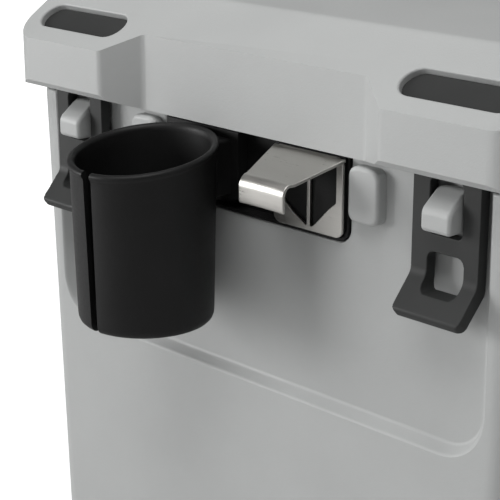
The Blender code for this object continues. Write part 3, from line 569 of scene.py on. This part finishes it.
def post(x0, x1):
    """A latch post: a rounded nose that the strap's window drops over."""
    nose = rounded([(34.0, 441.2), (20.6, 441.2), (4.2, 429.5), (4.2, 415.4), (34.0, 414.6)], [0, 6.5, 7.5, 3.4, 0], 10)
    bm = outline(nose, x0, x1, "YZ")
    bmesh.ops.dissolve_limit(bm, angle_limit=0.01, verts=bm.verts, edges=bm.edges)
    rims = [e for e in bm.edges if abs(e.verts[0].co.x - e.verts[1].co.x) < 1e-3 and min(v.co.y for v in e.verts) < 33.0]
    bmesh.ops.bevel(bm, geom=rims, offset=2.6, segments=5, affect="EDGES", profile=0.5)
    bmesh.ops.recalc_face_normals(bm, faces=bm.faces)
    return bm


def well(y0, y1):
    arch = [(WHEEL_X - WELL_R, -10.0), (260.0, -10.0), (260.0, WHEEL_Z + WELL_R), (WHEEL_X, WHEEL_Z + WELL_R)]
    for k in range(1, 18):
        turn = math.radians(90 + 5 * k)
        arch.append((WHEEL_X + WELL_R * math.cos(turn), WHEEL_Z + WELL_R * math.sin(turn)))
    return outline(arch, y0, y1, "XZ")


steps = [("-", panel_cut)]
steps += [("+", pad) for pad in pads]
steps += [
    ("-", pocket),
    ("-", block((-214, 46, 204), (214, 388, SEAM_Z + 10), 12.0, 4, upright)),
    ("-", block((-211, 49, 22), (62, 385, 214))),
    ("-", well(-10.0, 76.0)),
    ("-", well(344.0, 430.0)),
    ("-", block((84.0, 84.0, -10.0), (208.0, 336.0, 190.0), 10.0, 3, upright)),
    ("-", rod((WHEEL_X, 210.0, WHEEL_Z), "Y", 6.4, 300.0, 24)),
    ("-", rod((-215.0, 205.0, 73.0), "X", 12.5, 60.0, 32)),
    ("+", post(159.6, 181.7)),
    ("+", post(-181.7, -159.6)),
]


def weighted(obj, sharp=None):
    made = obj.modifiers.new("shade", "WEIGHTED_NORMAL")
    made.mode = "FACE_AREA"
    made.weight = 100
    made.keep_sharp = True
    return obj


def edge_bevel(obj, width, segments=3, angle=38.0, limit=True):
    bevel = obj.modifiers.new("edge", "BEVEL")
    bevel.width = width
    bevel.segments = segments
    bevel.limit_method = "ANGLE"
    bevel.angle_limit = math.radians(angle)
    bevel.use_clamp_overlap = limit
    bevel.harden_normals = False
    bevel.miter_outer = "MITER_ARC"
    return obj


tub_piece = piece("tub_shell_moulded", combine(tub, *steps), "tub", "shell_grey", ["outer_shell"], sharp=34)
weighted(tub_piece)

# --------------------------------------------------------------------- lid
# Front profile of the lid, rounded where the mould is rounded.
side_profile = rounded(
    [(4.2, LID_EDGE_Z - 4.2), (20.0, LID_UNDER_Z), (LID_REAR_Y + 12, LID_UNDER_Z), (LID_REAR_Y + 12, LID_TOP_Z - 32.0), (LID_REAR_Y - 9.0, LID_TOP_Z),
     ((LID_TOP_Z - LID_FACE_Z) / LID_SLOPE, LID_TOP_Z), (-14.0, LID_FACE_Z - 14.0 * LID_SLOPE), (-14.0, LID_EDGE_Z + 14.0)],
    [0, 0, 0, 0, 6.0, 9.0, 0, 0], 8,
)
lid_body = outline(side_profile, -LID_HALF_X - 5, LID_HALF_X + 5, "YZ")


def plan_at(z, grow, steps=10):
    """The lid's plan outline, pulled in by grow."""
    g = grow
    points = [
        (-LID_HALF_X + g, 0.0 + g), (-129.4 - g * 0.3, 0.0 + g), (-103.1 - g * 0.3, 20.0 + g), (103.1 + g * 0.3, 20.0 + g), (129.4 + g * 0.3, 0.0 + g), (LID_HALF_X - g, 0.0 + g),
        (LID_HALF_X - g, LID_REAR_Y - g), (-LID_HALF_X + g, LID_REAR_Y - g),
    ]
    flat = rounded(points, [20.0 - g, 9.0, 9.0, 9.0, 9.0, 20.0 - g, 20.0 - g, 20.0 - g], steps)
    return [(x, y, z) for x, y in flat]


lid_column = loft([plan_at(430.0, 0.0), plan_at(530.0, 0.0)])
incline = math.atan(LID_SLOPE)


def on_slope(bm, x, y, below=0.0):
    normal = Vector((0.0, -math.sin(incline), math.cos(incline)))
    spot = Vector((x, y, LID_FACE_Z + LID_SLOPE * y)) - normal * below
    bm.transform(Matrix.Translation(spot) @ Matrix.Rotation(incline, 4, "X"))
    return bm


def flared(outline_at, levels):
    """A cutter or pad from a flat outline that changes with height: levels are (grow, height)."""
    return loft([[(u, v, h) for u, v in outline_at(g)] for g, h in levels])


lid_steps = [("&", lid_column)]
lid_body = combine(lid_body, *lid_steps)
lid_obj = as_object(lid_body)
lid_bevel = lid_obj.modifiers.new("edge", "BEVEL")
lid_bevel.width = 4.2
lid_bevel.segments = 5
lid_bevel.limit_method = "ANGLE"
lid_bevel.angle_limit = math.radians(25)
lid_body = bake(lid_obj)
lid_steps = [
    ("-", outline([(42.0, 430.0), (393.0, 430.0), (393.0, 514.5), (64.0, 514.5), (42.0, 501.0)], -216.0, 216.0, "YZ")),
]
for side in (-1, 1):
    x = side * LATCH_X
    lid_steps.append(("-", block((x - 27.4, 4.6, 438.0), (x + 27.4, 31.0, 465.0))))
    lid_steps.append(("-", rod((x, LATCH_AXIS[0], LATCH_AXIS[1]), "X", 2.8, 67.0, 24)))
    cap_cut = flared(lambda g: stadium(43.9 + g, 12.2 + g), [(0.0, -6.9), (0.0, -1.4), (0.2, -0.75), (0.6, -0.28), (1.2, -0.04), (2.4, 0.3), (6.0, 6.0)])
    lid_steps.append(("-", on_slope(cap_cut, side * 172.0, 22.7)))
lid_piece = piece("lid_shell_moulded", combine(lid_body, *lid_steps), "lid", "shell_grey", ["lid_shell"], sharp=34)
weighted(lid_piece)

# ------------------------------------------------------------------ straps
def strap(x, side):
    pivot_y, pivot_z = LATCH_AXIS
    barrel = []
    for k in range(19):
        turn = math.radians(-20 + 220 * k / 18)
        barrel.append((pivot_y + 6.3 * math.cos(turn), pivot_z + 6.3 * math.sin(turn)))
    lower = rounded(
        [(15.0, 448.0), (15.0, 385.0), (-3.6, 364.6), (0.6, 358.9), (5.0, 360.5), (23.6, 378.6), (23.6, 448.0)],
        [0, 9.0, 2.6, 3.2, 3.0, 8.0, 0], 8,
    )
    bm = outline(barrel + lower, x - 25.35, x + 25.35, "YZ")
    hole_x = x + side * 0.8
    down, out = Vector((0.0, -0.674, -0.739)), Vector((0.0, -0.739, 0.674))
    corners = []
    for end in (-1, 1):
        edge, tip, turn = 25.35, 29.2, 5.5
        flat = [(edge + 3, tip + 3), (edge + 3, tip - turn), (edge, tip - turn)]
        flat += [(edge - turn + turn * math.cos(math.radians(a)), tip - turn + turn * math.sin(math.radians(a))) for a in range(10, 90, 10)]
        flat += [(edge - turn, tip), (edge - turn, tip + 3)]
        corner = outline([(end * u, w) for u, w in flat], -20.0, 20.0, "XY")
        corner.transform(Matrix(((1, 0, 0, x), (0, down.y, out.y, 15.0), (0, down.z, out.z, 385.0), (0, 0, 0, 1))))
        bmesh.ops.recalc_face_normals(corner, faces=corner.faces)
        corners.append(("-", corner))
    window = outline(box_outline(x - 12.4, 411.6, x + 12.4, 446.0, 3.0, 6), 5.0, 35.0, "XZ")
    return combine(bm, ("-", rod((x, pivot_y, pivot_z), "X", 2.8, 70.0, 24)), ("-", window), ("-", outline(box_outline(hole_x - 13.6, 375.2, hole_x + 13.6, 400.2, 5.0, 8), -12.0, 35.0, "XZ")), *corners)


for side, word in ((-1, "left"), (1, "right")):
    made = piece("latch_strap_moulded_" + word, soften(strap(side * LATCH_X, side), 0.5, 4, 0.3), "latch_" + word, "latch_rubber", ["latch_strap_" + word])
    cap = flared(lambda g: stadium(43.5 + g, 11.8 + g), [(-0.3, -6.5), (0.0, -6.1), (0.0, -4.7), (-0.2, -4.3), (-0.7, -4.05), (-1.5, -4.0)])
    cap_piece = piece("latch_cap_moulded_" + word, on_slope(cap, side * 172.0, 22.7), "lid", "latch_rubber", ["latch_cap_" + word], sharp=40)
    weighted(cap_piece)

# ------------------------------------------------------------- cup holder
cup_profile = [
    (0.0, 319.0), (38.0, 319.0), (40.6, 319.6), (42.2, 321.4), (43.1, 325.0), (45.5, 424.0), (45.7, RIM_Z - 3.4), (46.1, RIM_Z - 1.9), (46.9, RIM_Z - 0.8), (48.0, RIM_Z - 0.1),
    (49.2, RIM_Z - 0.1), (50.2, RIM_Z - 0.6), (50.8, RIM_Z - 1.5), (50.95, RIM_Z - 2.6), (50.6, RIM_Z - 3.7), (49.9, RIM_Z - 4.7), (49.4, RIM_Z - 6.0), (49.3, 424.0), (46.9, 321.5),
    (46.6, 319.2), (45.8, 317.2), (44.4, 315.8), (42.4, 315.05), (40.0, 315.0), (0.0, 315.0),
]
cup = turned(cup_profile, (CUP_X, CUP_Y, 0.0), "Z", 160)
for vert in cup.verts:
    if vert.co.z > 415.0:
        vert.co.z += CUP_TILT * (vert.co.y - CUP_Y)
mount = outline(rounded([(-83.2, 394.0), (-13.0, 394.0), (-13.0, 442.5), (-83.2, 442.5)], [6, 6, 0, 0], 8), 23.8, 32.8, "XZ")
web = block((-80.0, -4.0, 398.0), (-20.0, 26.0, 437.0), 2.0, 3)
bore = turned([(0.0, 446.0), (45.6, 446.0), (45.4, 419.0), (43.1, 325.0), (42.2, 321.4), (40.6, 319.6), (38.0, 319.0), (0.0, 319.0)], (CUP_X, CUP_Y, 0.0), "Z", 160)
slit = outline([(CUP_X - 3.0, 310.0), (CUP_X + 3.0, 310.0), (CUP_X + 4.1, 450.0), (CUP_X - 4.1, 450.0)], -95.0, -69.5, "XZ")
cup_piece = piece("cup_holder_moulded", combine(cup, ("+", mount), ("+", web), ("-", bore), ("-", slit)), "tub", "black_plastic", ["cup_holder"], sharp=40)
edge_bevel(cup_piece, 0.0006, 3, 50.0)
weighted(cup_piece)

# ----------------------------------------------------------------- opener
def hood_sheet():
    """One bent sheet: hood, bend and lip, narrowing toward the lip."""
    thick = 2.2
    path = [(22.6, 441.2), (16.0, 439.2), (8.0, 436.8), (0.0, 434.4), (-8.0, 432.0), (-14.0, 430.2)]
    centre = (-15.6, 423.4)
    for k in range(13):
        turn = math.radians(106.0 + 74.0 * k / 12)
        path.append((centre[0] + 7.0 * math.cos(turn) * 0.93, centre[1] + 7.0 * math.sin(turn)))
    path += [(-22.15, 420.0), (-22.15, 416.5), (-22.05, 414.4), (-21.6, 413.2)]
    bm = bmesh.new()
    rows = []
    columns = 22
    for y, z in path:
        share = max(0.0, min(1.0, (22.0 - y) / 41.0))
        half = 31.0 * (1.0 - 0.37 * share)
        row = []
        for c in range(columns + 1):
            u = -1 + 2 * c / columns
            crown = 0.35 * (1 - u * u) * share
            row.append(bm.verts.new((OPENER_X + half * u, y - crown * 0.4, z + crown)))
        rows.append(row)
    for a, b in zip(rows, rows[1:]):
        for c in range(columns):
            bm.faces.new((a[c], a[c + 1], b[c + 1], b[c]))
    bmesh.ops.recalc_face_normals(bm, faces=bm.faces)
    obj = as_object(bm)
    solid = obj.modifiers.new("thick", "SOLIDIFY")
    solid.thickness = thick
    solid.offset = 0.0
    bevel = obj.modifiers.new("edge", "BEVEL")
    bevel.width = 0.55
    bevel.segments = 3
    bevel.limit_method = "ANGLE"
    bevel.angle_limit = math.radians(50)
    return bake(obj)


def plate_with_catch():
    plate = loft([
        [(x, y, z) for x, z in box_outline(OPENER_X - 31.5 + i, 388.8 + i, OPENER_X + 29.4 - i, 442.4 - i, 6.0 - i * 0.6, 8)]
        for i, y in ((0.5, 23.6), (0.0, 23.1), (0.0, 22.0), (0.25, 21.55), (0.8, 21.3))
    ])
    left = rounded([(OPENER_X - 25.5, 437.0), (OPENER_X - 25.5, 408.0), (OPENER_X - 14.0, 399.0), (OPENER_X - 1.3, 391.6), (OPENER_X - 1.3, 437.0)], [0, 2, 2, 1, 0], 4)
    right = rounded([(OPENER_X + 1.3, 437.0), (OPENER_X + 1.3, 391.6), (OPENER_X + 4.6, 393.0), (OPENER_X + 18.0, 407.0), (OPENER_X + 24.0, 412.0), (OPENER_X + 24.0, 437.0)], [0, 1, 1, 2, 2, 0], 4)
    return combine(plate, ("-", outline(left, 15.0, 30.0, "XZ")), ("-", outline(right, 19.0, 30.0, "XZ")))


plate_piece = piece("bottle_opener_plate", plate_with_catch(), "tub", "steel", ["bottle_opener"], sharp=40)
edge_bevel(plate_piece, 0.00035, 2, 50.0)
weighted(plate_piece)
hood_piece = piece("bottle_opener_hood", hood_sheet(), "tub", "steel", [], sharp=45)
weighted(hood_piece)

# ------------------------------------------------------------------ wheels
WHEEL_WIDTH = 42.0


def mirrored(points):
    return points + [(r, -h) for r, h in reversed(points) if h > 0.01]


def tyre(centre):
    """A tyre with angled tread blocks and a raised band on its walls."""
    half = [
        (62.3, 16.0), (62.9, 17.2), (64.6, 17.9), (68.0, 18.9), (71.6, 19.6), (72.1, 20.3), (75.4, 20.9), (76.0, 20.5), (79.0, 20.9), (82.4, 20.4), (85.4, 19.2),
        (87.3, 17.4), (88.3, 15.8), (88.8, 13.6), (89.1, 11.2), (89.4, 8.8), (89.6, 6.4), (89.8, 4.4), (89.9, 2.8), (90.0, 1.9), (90.0, 1.1), (90.0, 0.5),
    ]
    loop = mirrored(half)
    blocks, around = 34, 680
    bm = bmesh.new()
    rows = []
    for k in range(around):
        turn = 2 * math.pi * k / around
        row = []
        for r, h in loop:
            side = abs(h)
            phase = (turn / (2 * math.pi) * blocks + side / 16.0 * 0.5 + (0.5 if h < 0 else 0.0)) % 1.0
            away = min(phase, 1.0 - phase)
            across = 1.0 - smoothstep((away - 0.06) / 0.06)
            middle = 1.0 - smoothstep((side - 0.9) / 0.8)
            fade = 1.0 - smoothstep((side - 16.0) / 3.0)
            depth = 2.4 * max(across, middle) * fade if r > 84.0 else 0.0
            row.append(bm.verts.new(((r - depth) * math.cos(turn), (r - depth) * math.sin(turn), h)))
        rows.append(row)
    count = len(loop)
    for k in range(around):
        a, b = rows[k], rows[(k + 1) % around]
        for j in range(count):
            bm.faces.new((a[j], a[(j + 1) % count], b[(j + 1) % count], b[j]))
    bmesh.ops.recalc_face_normals(bm, faces=bm.faces)
    bm.transform(Matrix.Translation(Vector(centre)) @ along("Y"))
    return bm


def rim(centre):
    half = [
        (9.3, 21.2), (9.6, 21.5), (17.0, 21.5), (18.1, 20.9), (18.6, 19.6), (19.2, 10.5), (20.0, 8.6), (21.6, 7.8), (49.4, 5.1), (51.6, 5.4), (53.0, 7.0), (55.4, 14.6),
        (56.6, 16.5), (58.2, 17.2), (61.2, 17.2), (61.9, 16.6),
    ]
    bm = turned(half + [(r, -h) for r, h in reversed(half)] + [half[0]], centre, "Y", 96)
    steps = []
    for k in range(5):
        turn = math.radians(90 + 72 * k)
        steps.append(("-", rod((WHEEL_X + 36 * math.cos(turn), centre[1], WHEEL_Z + 36 * math.sin(turn)), "Y", 10.5, 60.0, 40)))
        rib = block((-1.7, -11.5, 18.0), (1.7, 11.5, 54.5), 0.9, 2)
        rib.transform(Matrix.Translation(Vector(centre)) @ Matrix.Rotation(math.radians(90 - 126 - 72 * k), 4, "Y"))
        steps.append(("+", rib))
    return combine(bm, *steps)


for word, y0, out in (("front", 24.0, -1), ("rear", 396.0 - WHEEL_WIDTH, 1)):
    middle = y0 + WHEEL_WIDTH / 2
    centre = (WHEEL_X, middle, WHEEL_Z)
    piece("tyre_tread_" + word, tyre(centre), "wheel_" + word, "tyre_rubber", ["tyre_" + word], sharp=50)
    made = piece("wheel_rim_ribbed_" + word, rim(centre), "wheel_" + word, "rim_plastic", ["wheel_rim_" + word], sharp=40)
    edge_bevel(made, 0.0007, 2, 50.0)
    weighted(made)
    face = middle + out * (WHEEL_WIDTH / 2 + 2.4)
    profile = [(6.4, 1.3), (10.9, 1.3), (11.5, 1.9), (11.5, 5.4), (11.2, 6.6), (10.3, 7.6), (8.8, 8.3), (6.5, 8.65), (3.0, 8.7), (0.0, 8.7), (0.0, 6.8), (6.4, 6.8), (6.4, 1.3)]
    made = piece("axle_cap_domed_" + word, turned([(r, out * h) for r, h in profile], (WHEEL_X, face, WHEEL_Z), "Y", 64), "tub", "black_plastic", ["axle_cap_" + word], sharp=40)
    weighted(made)


# ----------------------------------------------------------------- handles
def arc(centre, radius, start, end, steps):
    return [(centre[0] + radius * math.cos(math.radians(start + (end - start) * k / steps)), centre[1] + radius * math.sin(math.radians(start + (end - start) * k / steps))) for k in range(steps + 1)]


def bail(x, ys, top, bar_z, bend, radius):
    path = [(x, ys[0], top)]
    path += [(x, y, z) for y, z in arc((ys[0] + bend, bar_z + bend), bend, 180, 270, 16)]
    path += [(x, y, z) for y, z in arc((ys[1] - bend, bar_z + bend), bend, 270, 360, 16)]
    path.append((x, ys[1], top))
    return tube(path, radius, 10)


def grip(centre, inner, outer, half, rings):
    """A rubber sleeve with rings moulded round it."""
    profile = [(inner, half), (outer - 1.6, half), (outer - 0.4, half - 0.5), (outer, half - 1.6), (outer, half - 4.0)]
    step = (2 * half - 10.0) / rings
    for k in range(rings):
        start = half - 5.0 - step * k
        profile += [(outer, start), (outer - 0.5, start - 0.10 * step), (outer - 1.0, start - 0.22 * step), (outer - 1.0, start - 0.48 * step), (outer - 0.5, start - 0.62 * step), (outer - 0.05, start - 0.74 * step)]
    profile += [(outer, -half + 4.0), (outer, -half + 1.6), (outer - 0.4, -half + 0.5), (outer - 1.6, -half), (inner, -half), (inner, half)]
    return turned(profile, centre, "Y", 72)


piece("tow_handle_tube", bail(-244.0, (108.0, 302.0), 404.0, 100.0, 26.0, 7.0), "tow_handle", "aluminium", ["tow_handle_frame"], sharp=50)
weighted(piece("tow_grip_ringed", grip((-244.0, 205.0, 100.0), 7.2, 13.5, 62.0, 22), "tow_handle", "seal_rubber", ["tow_grip"], sharp=60))
piece("carry_handle_tube", bail(241.0, (140.0, 270.0), 408.0, 345.0, 16.0, 4.5), "carry_handle", "aluminium", ["carry_handle_frame"], sharp=50)
weighted(piece("carry_grip_ringed", grip((241.0, 205.0, 345.0), 4.7, 11.0, 44.0, 16), "carry_handle", "seal_rubber", ["carry_grip"], sharp=60))

# ------------------------------------------------------------------ hinges
for side, word in ((-1, "left"), (1, "right")):
    x = side * 140.0
    pin = (x, HINGE[0], HINGE[1])
    parts = [
        ("+", rod(pin, "X", 5.5, 22.0, 48, 0.6)),
        ("+", block((x - 11, LID_REAR_Y + 0.35, 445.5), (x + 11, HINGE[0] + 2.0, 452.0), 0.7, 2)),
    ]
    for end in (-1, 1):
        parts.append(("+", rod((x + end * 20.0, LID_REAR_Y + 3.6, 464.5), "Y", 3.6, 2.2, 28, 0.8)))
        parts.append(("-", rod((x + end * 20.0, LID_REAR_Y + 5.2, 464.5), "Y", 1.5, 2.4, 6)))
    parts.append(("-", rod(pin, "X", 2.8, 40.0, 32)))
    weighted(piece("lid_hinge_leaf_moulded_" + word, combine(block((x - 30, LID_REAR_Y + 0.35, 450.5), (x + 30, LID_REAR_Y + 3.4, 476.0), 1.0, 3), *parts), "lid", "black_plastic", ["lid_hinge_leaf_" + word], sharp=40))
    parts = []
    for end in (-1, 1):
        middle = x + end * 20.3
        parts.append(("+", rod((middle, HINGE[0], HINGE[1]), "X", 5.5, 18.0, 48, 0.6)))
        parts.append(("+", block((middle - 9, TUB_REAR_Y + 1.0, 434.0), (middle + 9, HINGE[0] + 3.0, 442.6), 0.7, 2)))
        parts.append(("+", rod((x + end * 20.0, TUB_REAR_Y + 3.8, 418.0), "Y", 3.6, 2.2, 28, 0.8)))
        parts.append(("-", rod((x + end * 20.0, TUB_REAR_Y + 5.4, 418.0), "Y", 1.5, 2.4, 6)))
    parts.append(("-", rod(pin, "X", 2.8, 70.0, 32)))
    weighted(piece("tub_hinge_leaf_moulded_" + word, combine(block((x - 30, TUB_REAR_Y + 0.35, 404.0), (x + 30, TUB_REAR_Y + 3.6, 441.5), 1.0, 3), *parts), "tub", "black_plastic", ["tub_hinge_leaf_" + word], sharp=40))

# ------------------------------------------------------------------- drain
drain_wall = -(TUB_HALF_X - (SEAM_Z - 91.0) / (SEAM_Z - BASE_Z) * TUB_DRAFT) - 0.35
plug_face = drain_wall - 3.35
plug = turned(
    [(0.0, plug_face + 26.0), (7.0, plug_face + 26.0), (7.8, plug_face + 24.6), (7.8, plug_face), (15.4, plug_face), (16.0, plug_face - 0.7), (16.0, plug_face - 8.6), (15.5, plug_face - 9.9), (14.5, plug_face - 10.7), (13.0, plug_face - 11.0), (0.0, plug_face - 11.0)],
    (0.0, 205.0, 73.0), "X", 96,
)
parts = [("-", block((plug_face - 20, 205.0 + 4.0, 53.0), (plug_face - 4.5, 225.0, 93.0), 1.2, 2)), ("-", block((plug_face - 20, 185.0, 53.0), (plug_face - 4.5, 205.0 - 4.0, 93.0), 1.2, 2))]
made = piece("drain_plug_moulded", combine(plug, *parts), "drain", "black_plastic", ["drain_plug"], sharp=40)
edge_bevel(made, 0.0006, 2, 50.0)
weighted(made)

# ------------------------------------------------------------------- liner
def store(grow, top, bevel, edges):
    return (
        block((-192.0 - grow, 66.0 - grow, 225.0 - grow), (192.0 + grow, 368.0 + grow, top), bevel, 5, edges),
        block((-192.0 - grow, 66.0 - grow, 47.0 - grow), (44.0 + grow, 368.0 + grow, 250.0 if edges else 300.0), bevel, 5, edges),
    )


outer_upper, outer_lower = store(0.0, 443.6, 14.0, upright)
inner_upper, inner_lower = store(-3.0, SEAM_Z + 30.0, 11.0, None)
flange = block((-213.5, 46.5, 440.2), (213.5, 387.5, 443.6), 12.0, 5, upright)
liner_piece = piece(
    "tub_liner_moulded", combine(outer_upper, ("+", outer_lower), ("+", flange), ("-", inner_upper), ("-", inner_lower), ("-", rod((-190.0, 205.0, 73.0), "X", 12.5, 12.0, 40))),
    "tub", "liner_white", ["tub_liner"], sharp=40,
)
weighted(liner_piece)

# ----------------------------------------------------- remaining CAD pieces
shown = {o.name for o in bpy.data.objects}
for name, obj in NODES.items():
    slot = SLOT_OF[name]
    obj.data.materials.clear()
    obj.data.materials.append(BY_SLOT[slot])
    if name in ("outer_shell", "lid_shell", "tub_foam", "lid_foam") or obj.hide_render:
        continue
    if not any(m.type == "BEVEL" for m in obj.modifiers):
        weld = obj.modifiers.new("weld", "WELD")
        weld.merge_threshold = 0.00001
        bevel = obj.modifiers.new("edge", "BEVEL")
        bevel.width = 0.0012 if name.startswith(("foot", "lid_liner")) else 0.0007 if "bracket" in name else 0.0005
        bevel.segments = 2
        bevel.limit_method = "ANGLE"
        bevel.angle_limit = math.radians(40)
        bevel.use_clamp_overlap = True
        bevel.harden_normals = True

# ------------------------------------------------------------------- stage
floor_mesh = bpy.data.meshes.new("floor")
floor_mesh.from_pydata([(-9, -9, 0), (9, -9, 0), (9, 9, 0), (-9, 9, 0)], [], [(0, 1, 2, 3)])
floor = bpy.data.objects.new("floor", floor_mesh)
bpy.context.scene.collection.objects.link(floor)
floor_paint = bpy.data.materials.new("floor")
floor_paint.use_nodes = True
sockets(floor_paint.node_tree.nodes["Principled BSDF"], Roughness=0.9)
floor_paint.node_tree.nodes["Principled BSDF"].inputs["Base Color"].default_value = (0.72, 0.72, 0.72, 1.0)
nodes, links = floor_paint.node_tree.nodes, floor_paint.node_tree.links
glow = nodes.new("ShaderNodeEmission")
spot = nodes.new("ShaderNodeTexCoord")
away = nodes.new("ShaderNodeVectorMath")
away.operation = "LENGTH"
fade = nodes.new("ShaderNodeMapRange")
for socket, value in (("From Min", 0.5), ("From Max", 2.2), ("To Min", 0.66), ("To Max", 1.0)):
    fade.inputs[socket].default_value = value
links.new(spot.outputs["Object"], away.inputs[0])
links.new(away.outputs["Value"], fade.inputs["Value"])
links.new(fade.outputs["Result"], glow.inputs["Strength"])
both = nodes.new("ShaderNodeAddShader")
seen = nodes.new("ShaderNodeMixShader")
ray = nodes.new("ShaderNodeLightPath")
links.new(nodes["Principled BSDF"].outputs[0], both.inputs[0])
links.new(glow.outputs[0], both.inputs[1])
links.new(ray.outputs["Is Camera Ray"], seen.inputs["Fac"])
links.new(nodes["Principled BSDF"].outputs[0], seen.inputs[1])
links.new(both.outputs[0], seen.inputs[2])
# Seen from below, the floor lets the underside show.
under = nodes.new("ShaderNodeMath")
under.operation = "MULTIPLY"
side_of = nodes.new("ShaderNodeNewGeometry")
clear = nodes.new("ShaderNodeBsdfTransparent")
open_floor = nodes.new("ShaderNodeMixShader")
links.new(side_of.outputs["Backfacing"], under.inputs[0])
links.new(ray.outputs["Is Camera Ray"], under.inputs[1])
links.new(under.outputs[0], open_floor.inputs["Fac"])
links.new(seen.outputs[0], open_floor.inputs[1])
links.new(clear.outputs[0], open_floor.inputs[2])
links.new(open_floor.outputs[0], nodes["Material Output"].inputs["Surface"])
floor_mesh.materials.append(floor_paint)

world = bpy.data.worlds.new("world")
bpy.context.scene.world = world
world.use_nodes = True
world.node_tree.nodes["Background"].inputs["Color"].default_value = (1.0, 1.0, 1.0, 1.0)
world.node_tree.nodes["Background"].inputs["Strength"].default_value = 0.215
backdrop = world.node_tree.nodes.new("ShaderNodeBackground")
backdrop.inputs["Color"].default_value = (1.0, 1.0, 1.0, 1.0)
backdrop.inputs["Strength"].default_value = 1.0
pick = world.node_tree.nodes.new("ShaderNodeMixShader")
path = world.node_tree.nodes.new("ShaderNodeLightPath")
world.node_tree.links.new(path.outputs["Is Camera Ray"], pick.inputs["Fac"])
world.node_tree.links.new(world.node_tree.nodes["Background"].outputs[0], pick.inputs[1])
world.node_tree.links.new(backdrop.outputs[0], pick.inputs[2])
world.node_tree.links.new(pick.outputs[0], world.node_tree.nodes["World Output"].inputs["Surface"])


def lamp(name, place, target, size, power, colour=(1.0, 1.0, 1.0)):
    data = bpy.data.lights.new(name, "AREA")
    data.shape = "RECTANGLE"
    data.size, data.size_y = size
    data.energy = power
    data.color = colour
    obj = bpy.data.objects.new(name, data)
    bpy.context.scene.collection.objects.link(obj)
    obj.location = place
    obj.rotation_mode = "QUATERNION"
    obj.rotation_quaternion = (Vector(target) - Vector(place)).to_track_quat("-Z", "Y")
    return obj


lamp("key", (-3.40, -3.05, 1.05), (0.0, -0.1, 0.38), (2.0, 1.6), 112.0)
lamp("top", (0.25, -0.85, 2.35), (0.0, -0.05, 0.4), (1.5, 1.5), 26.5)
lamp("back", (1.1, 3.0, 1.5), (0.0, 0.0, 0.3), (2.0, 2.0), 16.0)

view = bpy.context.scene.view_settings
view.view_transform = "Standard"
view.look = "None"
view.exposure = 0.0
view.gamma = 1.0
